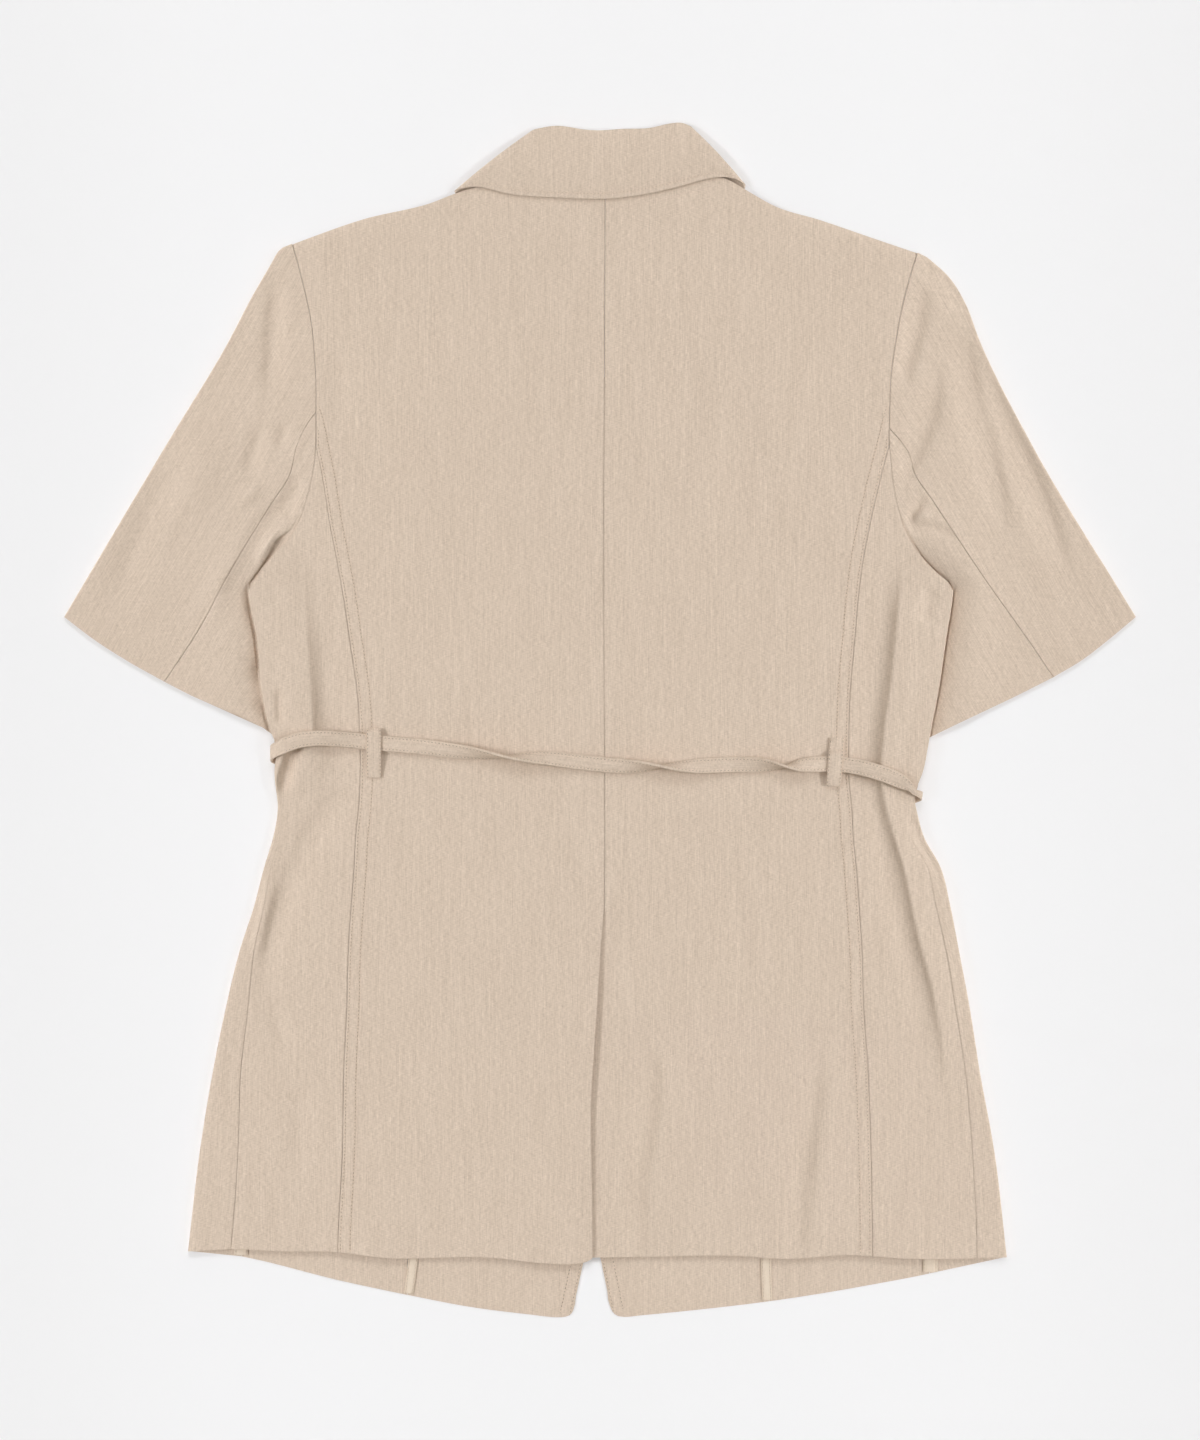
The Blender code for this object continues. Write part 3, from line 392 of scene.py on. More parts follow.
SLEEVES = {
    Side.LEFT: SleeveCut(
        outer=(
            (-209, 323), (-215, 321.5), (-219, 318), (-223, 311),
            (-238, 285), (-252, 258), (-293, 190), (-364.3, 70),
        ),
        back_seam=(
            (-193, 209), (-199, 201), (-206, 186), (-211, 166),
            (-222, 149), (-253, 98), (-271, 64), (-296, 26),
        ),
        inner=((-230, 90), (-227, 60), (-222, 20), (-218, -13)),
        cuff_outer=((-296, 26), (-321, 40), (-343, 54), (-364.3, 70)),
        cuff_inner=((-296, 26), (-271, 13.5), (-252, 6), (-235, -1), (-218, -13)),
    ),
    Side.RIGHT: SleeveCut(
        outer=(
            (215.5, 317), (221, 315.4), (226, 311.5), (239, 299),
            (248, 284), (258, 258), (292, 190), (364.3, 70),
        ),
        back_seam=(
            (196.5, 198), (203, 191), (209.5, 182), (214, 167),
            (226, 149), (266, 89), (289, 57), (308, 29),
        ),
        inner=((231, 90), (228, 58), (222, 20), (217, -15)),
        cuff_outer=((308, 29), (328, 41), (345, 54), (364.3, 70)),
        cuff_inner=((308, 29), (282, 16), (249, 0.5), (225, -11), (217, -15)),
    ),
}
SLEEVE_ROWS = (0, 0.003, 0.04, 0.09, 0.17, 0.27, 0.38, 0.5, 0.62, 0.75, 0.88, 1)
SLEEVE_POINT_SHARE = 0.03
SLEEVE_HEAD_POINT = 3

SHOULDERS = {
    Side.LEFT: (
        (-209, 323), (-201, 326), (-161, 340), (-114, 351.5),
        (-98.5, 357.6), (-84, 362), (-64, 366.5),
    ),
    Side.RIGHT: (
        (215.5, 317), (189, 326), (148, 340), (120, 348.5), (104, 357.2),
        (97, 361.4), (90, 365.6), (81, 369), (67, 369.5),
    ),
}
NECK_CENTRE = (3.5, 364.0)
NECKLINE_DIP = {Side.LEFT: (-34, 364.0), Side.RIGHT: (40, 364.0)}

CENTRE_SEAM = ((364, 3.5), (240, 3), (149, 2.5), (25, 2.7), (-60, 3.2), (VENT_TOP, 3))
VENT_EDGE = (
    (VENT_TOP, 3), (-150, 1), (-183, -1), (-227, -4),
    (-262, -6), (-289, -6), (-323, -5.3), (-370, -5),
)

BACK_HEM = {
    Side.LEFT: (
        (-281, -361), (-249, -359.5), (-216, -361), (-178, -361.5),
        (-150, -365), (-70, -365.5), (-39, -369), (-14, -369), (-8, -367.6), (-5, -365.6),
    ),
    Side.RIGHT: (
        (277, -365), (243, -366), (210, -366), (169, -363.5),
        (127, -366), (89, -364), (41, -364.5), (-40, -366),
    ),
}
BACK_HEM_LEVEL = -366.0
ROW_TOPS = {
    Side.LEFT: ((-191, 213), (-188.8, 206), (-186.6, 197)),
    Side.RIGHT: ((194.8, 213), (192.6, 205), (190.2, 196)),
}
FRONT_HEM = {
    Side.LEFT: (
        (-281, -360.5), (-258, -362), (-237, -366), (-177, -381),
        (-130, -391), (-88, -399), (-41, -405),
    ),
    Side.RIGHT: (
        (276, -362), (254, -368), (233, -374), (181, -384.5),
        (116, -395), (56, -402), (25, -405),
    ),
}
FRONT_HEM_LEVEL = -380.0
FRONT_CORNER = {
    Side.LEFT: ((-41, -405), (-31, -406), (-24.5, -405.8), (-20.4, -404.4), (-18.4, -401.5), (-17, -397)),
    Side.RIGHT: ((25, -405), (18, -405.8), (12.6, -405.4), (9.4, -403.4), (7.4, -399.8), (5.5, -394)),
}
FRONT_EDGE = {
    Side.LEFT: (
        (-64, 366.5), (-55, 303), (15, 215), (15, 187),
        (15, -259), (0, -327), (-11, -370), (-17, -397),
    ),
    Side.RIGHT: (
        (67, 369.5), (57, 303), (-12, 215), (-12, 187),
        (-12, -259), (-7, -337), (0, -367), (5.5, -394),
    ),
}
NECKLINE_POINTS = 4
LAP_LOW = -370.0
LAP_FULL = -343.0
LAP_MARGIN = 26.0
LAP_SLOPE = 12.0
LAP_TOP = 260.0
LAP_TOP_FADE = 30.0

COLLAR = tuple(Station(*row) for row in (
    (180, -72, 298, -34, 306, -48.8, 302.5),
    (180, -86, 331, -36, 356, -55, 338),
    (180, -89, 349, -45, 394.5, -61, 372.5),
    (135, -95, 355, -46, 395, -61, 373),
    (90, -96.8, 356.2, -46.5, 395.6, -60.5, 373),
    (45, -95.5, 358.5, -44, 398.6, -58, 371.5),
    (0, -91, 361.5, -39.5, 401.2, -54, 370.5),
    (0, -80, 362, -30.5, 402.4, -43, 368.8),
    (0, -59, 357, -22, 401.5, -30, 368),
    (0, -30, 355, -11, 399.6, -13, 367.5),
    (0, 1, 354, 1, 399, 3.5, 367),
    (0, 26, 356.5, 16, 400, 19, 367.5),
    (0, 50, 361.5, 33, 400.5, 35, 368),
    (0, 74, 368, 47, 403.6, 48, 369),
    (0, 89, 368.3, 55.5, 404.4, 58, 371),
    (45, 95, 363.5, 59.5, 401.5, 62, 372.5),
    (90, 96.4, 360.6, 59.6, 400.2, 64, 373.5),
    (135, 95, 357.5, 58.5, 399, 64.5, 373),
    (180, 89, 351, 57.5, 397.5, 64, 372.5),
    (180, 88, 333, 38, 356, 57, 338),
    (180, 74, 298, 36, 306, 50.8, 302.5),
))
FOLD_NORMALS = {Side.LEFT: (-0.616, 0.788), Side.RIGHT: (0.733, 0.68)}
COLLAR_FRONT = {
    Side.LEFT: ((-85, 365), (-63, 345), (-54, 302)),
    Side.RIGHT: ((85, 368), (63, 346), (56, 302)),
}
COLLAR_FULL = 32.0
COLLAR_GONE = 62.0

BELT_BACK = tuple(BeltPoint(*row) for row in (
    (-214, -17.2, 0),
    (-206, -14.2, 0),
    (-194, -12.4, 0),
    (-177, -13, 0),
    (-152, -15.5, 0),
    (-122, -18, 0),
    (-98, -21, 22),
    (-64, -25, 90),
    (-36, -26, 152),
    (-10, -29, 180),
    (18, -31.5, 205),
    (42, -31.5, 270),
    (66, -31.5, 335),
    (90, -30.5, 360),
    (108, -30.5, 385),
    (126, -31.5, 450),
    (142, -30.5, 520),
    (156, -30, 540),
    (170, -31, 540),
    (188, -35.3, 540),
    (203, -41.2, 544),
    (210.5, -45.4, 556),
))
BELT_WRAP_LEVEL = {Side.LEFT: -19.5, Side.RIGHT: -49.0}
BELT_FRONT_LEVEL = {Side.LEFT: (-26.0, -32.0), Side.RIGHT: (-54.0, -40.0)}
BELT_PINCH = 3.2
BELT_PINCH_REACH = 11.0
BELT_FULL = BELT_WIDTH / 2 + 11
BELT_GONE = 34.0
LOOPS = {
    Side.LEFT: LoopPlace(-153.5, -6, -153.5, -39),
    Side.RIGHT: LoopPlace(161, -12, 158.5, -44.5),
}

# Creases of the body, laid after the photo
BODY_CREASES = (
    Crease(((-203, 118), (-198.5, 56), (-195, -8), (-195, -19)), 4.6, 26, 2.7, 0.9, 0.1, Fold.SHARP),
    Crease(((-194, 110), (-189, 56), (-185, -12)), 15, 7, -0.7, 0.8, 0.0),
    Crease(((-221, 95), (-220, 74)), 4, 4, -0.6),
    Crease(((-218, 24), (-217, -6)), 3, 3, -1.3),
    Crease(((-206, -17), (-211.5, -33), (-216, -54)), 3.0, 4.4, -6.0, 0.05, 0.4, Fold.SHARP),
    Crease(((-214, -19), (-218.5, -34), (-221.5, -54)), 4.0, 3.0, 2.2, 0.05, 0.4, Fold.SHARP),
    Crease(((-200, -16), (-206, -33), (-212, -52)), 14, 2.6, 0.8, 0.1, 0.4),
    Crease(((-163, -44), (-187, -65), (-207, -104), (-224, -153), (-225, -197)), 9, 7, -1.7, 0.2, 0.3),
    Crease(((-225, -190), (-218, -210), (-208, -226)), 6, 6, -0.9),
    Crease(((-202, -240), (-206, -314)), 7, 7, -0.7),
    Crease(((-222, -104), (-234, -166)), 6, 5, 1.8),
    Crease(((-132, -48), (-128, -102)), 7, 7, -0.7),
    Crease(((206, 112), (203, 81), (198.5, 34), (191.5, -24), (191, -41), (194.5, -61),
            (199.5, -78), (206, -99), (215, -142), (225, -180), (233.5, -231), (236, -279)),
           24, 3.3, 2.8, 0.12, 0.3, Fold.SHARP),
    Crease(((196, 112), (192, 81), (186.5, 40), (180, -28)), 7, 13, -0.7, 0.7, 0.0),
    Crease(((226, 92), (218, 64)), 5, 5, -1.2),
    Crease(((184, -40), (189, -72), (199, -120), (214, -182), (226, -252)), 7, 7, -0.8, 0.12, 0.5),
    Crease(((208, -60), (223, -93), (237, -114)), 4, 4, -1.0, 0.2, 0.4),
    Crease(((30, -207), (42, -238), (40, -280), (34, -318), (36, -366)), 19, 3.2, 1.6, 0.25, 0.2, Fold.SHARP),
    Crease(((22, -207), (33, -238), (31, -280), (24, -318), (27, -366)), 4, 9, -1.4, 0.3, 0.0),
    Crease(((157, -199), (155, -250), (147, -310), (144, -366)), 16, 4.2, 1.2, 0.4, 0.2, Fold.SHARP),
    Crease(((148, -222), (145, -262), (137, -312), (134, -366)), 4, 9, -1.1, 0.3, 0.0),
    Crease(((93, -108), (100, -188)), 7, 7, -0.7),
    Crease(((47, -62), (56, -92)), 7, 7, -0.7),
    Crease(((-114, 328), (-111, 292)), 12, 12, -0.9),
    Crease(((-95, 192), (-88, 149), (-77, 98), (-60, 58)), 12, 15, -1.7),
    Crease(((108, 314), (135, 282)), 12, 12, -0.9),
    Crease(((68, 266), (51, 183), (22, 97)), 14, 13, -1.7),
    Crease(((102, 218), (83, 121)), 12, 12, -1.2),
    Crease(((-180, 252), (-175, 186)), 5, 6, -0.7),
    Crease(((-152, -310), (-152, -374)), 22, 22, 1.2, 0.9, 0.0),
    Crease(((-36, -318), (-34, -374)), 24, 26, 1.1, 0.9, 0.0),
    Crease(((16, -322), (16, -374)), 13, 14, 1.0, 0.9, 0.0),
    Crease(((132, -320), (130, -374)), 15, 18, 1.2, 0.9, 0.0),
    Crease(((206, -322), (208, -374)), 26, 28, 1.0, 0.9, 0.0),
)

# Creases of the sleeves' upper layers
SLEEVE_CREASES = (
    Crease(((-221, 306), (-222, 272), (-224, 245), (-226, 214)), 8, 4, -2.1),
    Crease(((-214, 300), (-213, 262)), 5, 7, 0.5),
    Crease(((-228, 204), (-235, 182), (-240, 162)), 4.5, 4.5, -1.3),
    Crease(((-213, 202), (-218, 184)), 4, 4, -1.3),
    Crease(((-205, 150), (-222, 137), (-238, 112), (-250, 85), (-256, 44)), 6, 6, -2.2, 0.1, 0.4),
    Crease(((-204, 168), (-210, 150), (-218, 139)), 5, 5, -1.6),
    Crease(((-213, 127), (-218, 118), (-225, 107)), 2.0, 2.0, -3.4, 0.2, 0.3),
    Crease(((-219, 130), (-227, 117), (-233, 105)), 4, 4, 1.5),
    Crease(((-289, 172), (-306, 142), (-320, 105), (-332, 68)), 9, 8, -1.0),
    Crease(((-262, 200), (-284, 132)), 15, 14, 1.0),
    Crease(((-247, 148), (-229, 158)), 3.5, 3.5, 1.0),
    Crease(((222, 298), (215, 268), (209, 245), (203, 222)), 4.5, 9, -2.4),
    Crease(((221, 262), (214, 232)), 6, 6, 0.3),
    Crease(((231, 250), (226, 214), (218, 190), (210, 173), (204, 154)), 4.5, 9, -2.0, 0.35, 0.25),
    Crease(((242, 236), (236, 200), (226, 172)), 7, 7, 0.3),
    Crease(((247, 268), (252, 228), (263, 190), (269, 162), (278, 112)), 5, 11, -2.4, 0.25, 0.4),
    Crease(((260, 240), (279, 197), (295, 163), (309, 126), (322, 84)), 5, 10, -2.6, 0.2, 0.45),
    Crease(((206, 132), (213, 142), (221, 153)), 2.6, 3.2, -2.2, 0.1, 0.4),
    Crease(((212, 137), (226, 142)), 3, 3, 1.4),
    Crease(((209, 130), (226, 130), (245, 121)), 3, 3.6, -2.0, 0.1, 0.5),
    Crease(((216, 318), (236, 300), (253, 270)), 8, 8, -1.7, 0.1, 0.3),
)

# Shallow creases of the hidden fronts and of the sleeves' lower layers
FRONT_CREASES = (
    Crease(((-176, 118), (-168, 60), (-164, -6)), 9, 14, 0.5, 0.3, 0.2),
    Crease(((-140, 96), (-120, 22), (-112, -18)), 12, 9, 0.42),
    Crease(((-196, -60), (-203, -120), (-213, -196)), 7, 10, 0.5, 0.2, 0.5),
    Crease(((-150, -70), (-146, -150)), 10, 12, 0.35),
    Crease(((-118, 262), (-104, 214), (-84, 172)), 13, 10, 0.4),
    Crease(((172, 124), (163, 52), (158, -14)), 12, 8, 0.5, 0.35, 0.2),
    Crease(((120, 84), (104, 12)), 10, 13, 0.38),
    Crease(((188, -66), (199, -130), (214, -222)), 9, 7, 0.5, 0.15, 0.5),
    Crease(((130, -76), (137, -168), (133, -214)), 12, 10, 0.36),
    Crease(((126, 248), (98, 190)), 9, 12, 0.4),
)
UNDER_CREASES = (
    Crease(((-262, 206), (-281, 150), (-292, 112)), 9, 7, 0.3),
    Crease(((-244, 226), (-253, 188)), 7, 9, 0.25),
    Crease(((262, 96), (272, 60), (278, 36)), 7, 9, 0.3),
    Crease(((300, 100), (310, 66)), 7, 9, 0.25),
)

# How far the vent's edge lifts at its levels
VENT_LIFTS = ((-120, 0.0), (-160, 1.4), (-225, 2.6), (-290, 1.6), (-372, 0.9))
VENT_LIFT_REACH = 15.0


def hermite(knots: Sequence[float], values: Sequence, at: Array) -> Array:
    """A smooth curve through the values at the knots.

    Args:
        knots: Rising places of the values.
        values: One value or one row of values for each knot.
        at: Places to read the curve at.

    Returns:
        The values at those places.
    """
    knots = np.asarray(knots, float)
    values = np.asarray(values, float)
    slopes = np.gradient(values, knots, axis=0)
    at = np.clip(np.asarray(at, float), knots[0], knots[-1])
    index = np.clip(np.searchsorted(knots, at, side="right") - 1, 0, len(knots) - 2)
    span = knots[index + 1] - knots[index]
    t = (at - knots[index]) / span
    if values.ndim > 1:
        t, span = t[:, None], span[:, None]
    return (
        (1 + 2 * t) * (1 - t) ** 2 * values[index]
        + t * (1 - t) ** 2 * span * slopes[index]
        + t * t * (3 - 2 * t) * values[index + 1]
        + t * t * (t - 1) * span * slopes[index + 1]
    )


def lengths_along(line: Array) -> Array:
    """The length of a line up to each of its points."""
    steps = np.linalg.norm(np.diff(line, axis=0), axis=1)
    return np.concatenate([[0.0], np.cumsum(steps)])


def shares(line: Array) -> Array:
    """How far along a line each of its points lies, from 0 to 1."""
    lengths = lengths_along(line)
    return lengths / lengths[-1]


def sample(line: Array, fractions: Array) -> Array:
    """Points of a polyline at fractions of its length.

    Args:
        line: The polyline.
        fractions: Shares of its length.

    Returns:
        A point for each share.
    """
    lengths = lengths_along(line)
    at = np.asarray(fractions) * lengths[-1]
    return np.stack([np.interp(at, lengths, line[:, axis]) for axis in range(line.shape[1])], axis=1)


def smooth(points: Sequence[Pair], steps: int = LINE_STEPS) -> Array:
    """A dense smooth line through a few points, with a number of steps for each of them."""
    knots = lengths_along(np.asarray(points, float))
    return hermite(knots, points, np.linspace(0, knots[-1], steps * len(points)))


def unit(vectors: Array) -> Array:
    """Rows of vectors, each brought to a length of 1."""
    return vectors / np.linalg.norm(vectors, axis=1, keepdims=True)


def shifted(line: Array, distance: Array | float) -> Array:
    """A line moved sideways, to the left of its own direction where the distance is positive."""
    along = unit(np.gradient(line, axis=0))
    return line + np.asarray(distance)[..., None] * np.stack([-along[:, 1], along[:, 0]], axis=1)


def ease(t: Array) -> Array:
    """A soft step from 0 to 1."""
    t = np.clip(t, 0, 1)
    return t * t * (3 - 2 * t)


def fade(distance: Array, full: Array | float, gone: Array | float) -> Array:
    """1 up to the distance called full, and 0 past the one called gone."""
    return 1 - ease((distance - full) / (gone - full))


def bell(distance: Array, half_width: Array | float) -> Array:
    """A soft bump of height 1."""
    return np.exp(-((distance / half_width) ** 2))


def even(count: int) -> Array:
    """Fractions from 0 to 1 in even steps."""
    return np.linspace(0, 1, count + 1)


def nearest(points: Array, line: Array) -> tuple[Array, Array, Array]:
    """The foot of each point on a polyline.

    Args:
        points: Plan points, in any array shape.
        line: The polyline.

    Returns:
        The distance, how far along the line the foot lies from 0 to 1, and 1 or -1 for the line's left or
        right hand.
    """
    line = np.asarray(line, float)
    lengths = lengths_along(line)
    best = np.full(points.shape[:-1], np.inf)
    along = np.zeros(points.shape[:-1])
    hand = np.ones(points.shape[:-1])
    for start, end, before in zip(line[:-1], line[1:], lengths[:-1]):
        run = end - start
        off = points - start
        t = np.clip((off @ run) / max(run @ run, TINY), 0, 1)
        distance = np.linalg.norm(off - t[..., None] * run, axis=-1)
        closer = distance < best
        best = np.where(closer, distance, best)
        along = np.where(closer, (before + t * np.linalg.norm(run)) / lengths[-1], along)
        hand = np.where(closer, np.sign(run[0] * off[..., 1] - run[1] * off[..., 0]), hand)
    return best, along, hand


def crease_rise(creases: Sequence[Crease], points: Array, deepest: Array | float) -> Array:
    """The rise of a set of creases at plan points.

    Args:
        creases: The creases.
        points: Plan points, in any array shape.
        deepest: How far down the cloth can sink.

    Returns:
        The rise at each point.
    """
    flat = points.reshape(-1, 2)
    rise = np.zeros(len(flat))
    for crease in creases:
        line = smooth(crease.route, CREASE_STEPS)
        reach = CREASE_REACH * max(crease.left, crease.right)
        near = np.all((flat > line.min(axis=0) - reach) & (flat < line.max(axis=0) + reach), axis=1)
        if not near.any():
            continue
        distance, along, hand = nearest(flat[near], line)
        ends = np.ones_like(along)
        if crease.fade_in:
            ends = ends * ease(along / crease.fade_in)
        if crease.fade_out:
            ends = ends * ease((1 - along) / crease.fade_out)
        width = np.where(hand > 0, crease.left, crease.right)
        form = bell(distance, width) if crease.fold is Fold.SOFT else np.exp(-distance / width)
        rise[near] += crease.rise * ends * form
    rise = RELIEF * rise.reshape(points.shape[:-1])
    return np.maximum(rise, 0) - deepest * np.tanh(-np.minimum(rise, 0) / deepest)


def column(name: str, levels: Array) -> Array:
    """Where a seam or edge of the body lies at the levels given.

    Args:
        name: A name in the sections.
        levels: The levels.

    Returns:
        An x for each level.
    """
    knots = [row.level for row in SECTIONS]
    x = hermite(knots, [getattr(row, name) for row in SECTIONS], levels)
    for side in Side:
        if name.startswith(side.value) and name.endswith("edge"):
            x = x + side.inward * BELT_PINCH * bell(levels - BELT_WRAP_LEVEL[side], BELT_PINCH_REACH)
    return x


def at_levels(name: str, levels: Array) -> Array:
    """A seam or edge of the body as points."""
    levels = np.asarray(levels, float)
    return np.stack([column(name, levels), levels], axis=1)


def armhole(side: Side, stations: Array) -> Array:
    """Points of an armhole seam at stations from the shoulder to the underarm."""
    rows = [(getattr(row, f"{side.value}_x"), getattr(row, f"{side.value}_y")) for row in ARMHOLE]
    return hermite(np.arange(len(rows)), rows, stations)


def vent_x(levels: Array) -> Array:
    """Where the left panel's vent edge lies at the levels given."""
    edge = np.array(VENT_EDGE)[::-1]
    return hermite(edge[:, 0], edge[:, 1], levels)


def centre_line(levels: Array) -> Array:
    """The centre back seam and the vent edge at the levels given.

    Args:
        levels: The levels.

    Returns:
        A point for each level.
    """
    seam = np.array(CENTRE_SEAM)[::-1]
    x = np.where(levels >= VENT_TOP, hermite(seam[:, 0], seam[:, 1], levels), vent_x(levels))
    return np.stack([x, levels], axis=1)


def hem_point(line: Sequence[Pair], seam_x: float) -> Array:
    """The point of a hem line under a seam.

    Args:
        line: The hem line.
        seam_x: Where the seam lies.

    Returns:
        The point.
    """
    dense = smooth(line)
    order = np.argsort(dense[:, 0])
    return np.array([seam_x, np.interp(seam_x, dense[order, 0], dense[order, 1])])


def hem_between(line: Sequence[Pair], start: Array, end: Array) -> Array:
    """The stretch of a hem between two of its points.

    Args:
        line: The hem line.
        start: Its first point.
        end: Its last point.

    Returns:
        The stretch, from start to end.
    """
    dense = smooth(line, HEM_STEPS)
    low, high = sorted((start[0], end[0]))
    inside = dense[(dense[:, 0] > low + HEM_CLEAR) & (dense[:, 0] < high - HEM_CLEAR)]
    if (inside[0, 0] - start[0]) ** 2 > (inside[-1, 0] - start[0]) ** 2:
        inside = inside[::-1]
    return np.vstack([start, inside, end])


def seam_foot(name: str, hem: Sequence[Pair]) -> Array:
    """The point where a body seam meets a hem."""
    level = hem_point(hem, column(name, np.array([BACK_HEM_LEVEL]))[0])[1]
    return hem_point(hem, column(name, np.array([level]))[0])


def seam_down(name: str, hem: Sequence[Pair], step: float) -> Array:
    """A princess seam from the armhole to a hem, with points a step apart."""
    foot = seam_foot(name, hem)[1]
    return at_levels(name, np.linspace(TOP_LEVEL, foot, int((TOP_LEVEL - foot) / step)))


def patch(top: Array, bottom: Array, left: Array, right: Array, count: int) -> Array:
    """A grid of plan points between four lines.

    Args:
        top: The top line, left to right.
        bottom: The bottom line, left to right.
        left: The left line from top to bottom, a point for each row.
        right: The right line, paired with the left one.
        count: Steps across each row.

    Returns:
        The grid, in rows from the top.
    """
    u = even(count)
    top, bottom = sample(top, u), sample(bottom, u)
    u = u[None, :, None]
    v = ((shares(left) + shares(right)) / 2)[:, None, None]
    upper = top[None] - (1 - u) * top[0] - u * top[-1]
    lower = bottom[None] - (1 - u) * bottom[0] - u * bottom[-1]
    return (1 - u) * left[:, None] + u * right[:, None] + (1 - v) * upper + v * lower


def relaxed(plan: Array) -> Array:
    """A grid whose inner points lie evenly among their neighbours, with its edge kept.

    Args:
        plan: The grid.

    Returns:
        The evened grid.
    """
    plan = plan.copy()
    for _ in range(SETTLE_ROUNDS):
        plan[1:-1, 1:-1] = (plan[:-2, 1:-1] + plan[2:, 1:-1] + plan[1:-1, :-2] + plan[1:-1, 2:]) / 4
    return plan


@dataclass(frozen=True)
class Spaced:
    """A grid of plan points with the distance of each from both ends of its row."""

    plan: Array
    from_start: Array
    from_end: Array


def row_lengths(grid: Array) -> Array:
    """The length of each row of a grid up to each of its points."""
    steps = np.linalg.norm(np.diff(grid, axis=1), axis=2)
    return np.concatenate([np.zeros((len(grid), 1)), np.cumsum(steps, axis=1)], axis=1)


def respaced(plan: Array, near: Sequence[float], far: Sequence[float], step: float) -> Spaced:
    """A grid with columns at set distances from both ends of its rows and even ones between.

    Args:
        plan: The grid to take points from.
        near: Distances of the first columns from the start of a row.
        far: Distances of the last columns from the end of a row.
        step: The spacing between.

    Returns:
        The new grid and its distances.
    """
    lengths = row_lengths(plan)
    near, far = np.asarray(near, float), np.asarray(far, float)
    whole = lengths[:, -1]
    taken = near[-1] + far[-1]
    middle = max(2, round((np.median(whole) - taken) / step))
    shrink = np.minimum(1.0, whole / (CROWDED * taken))[:, None]
    first = near[None] * shrink
    last = whole[:, None] - far[None, ::-1] * shrink
    t = even(middle)[None, 1:-1]
    between = first[:, -1:] * (1 - t) + last[:, :1] * t
    places = np.concatenate([first, between, last], axis=1)
    rows = [
        np.stack([np.interp(at, along, row[:, 0]), np.interp(at, along, row[:, 1])], axis=1)
        for at, along, row in zip(places, lengths, plan)
    ]
    return Spaced(np.array(rows), places, whole[:, None] - places)


def raised(plan: Array, heights: Array) -> Array:
    """Plan points with their heights."""
    return np.concatenate([plan, heights[..., None]], axis=-1)


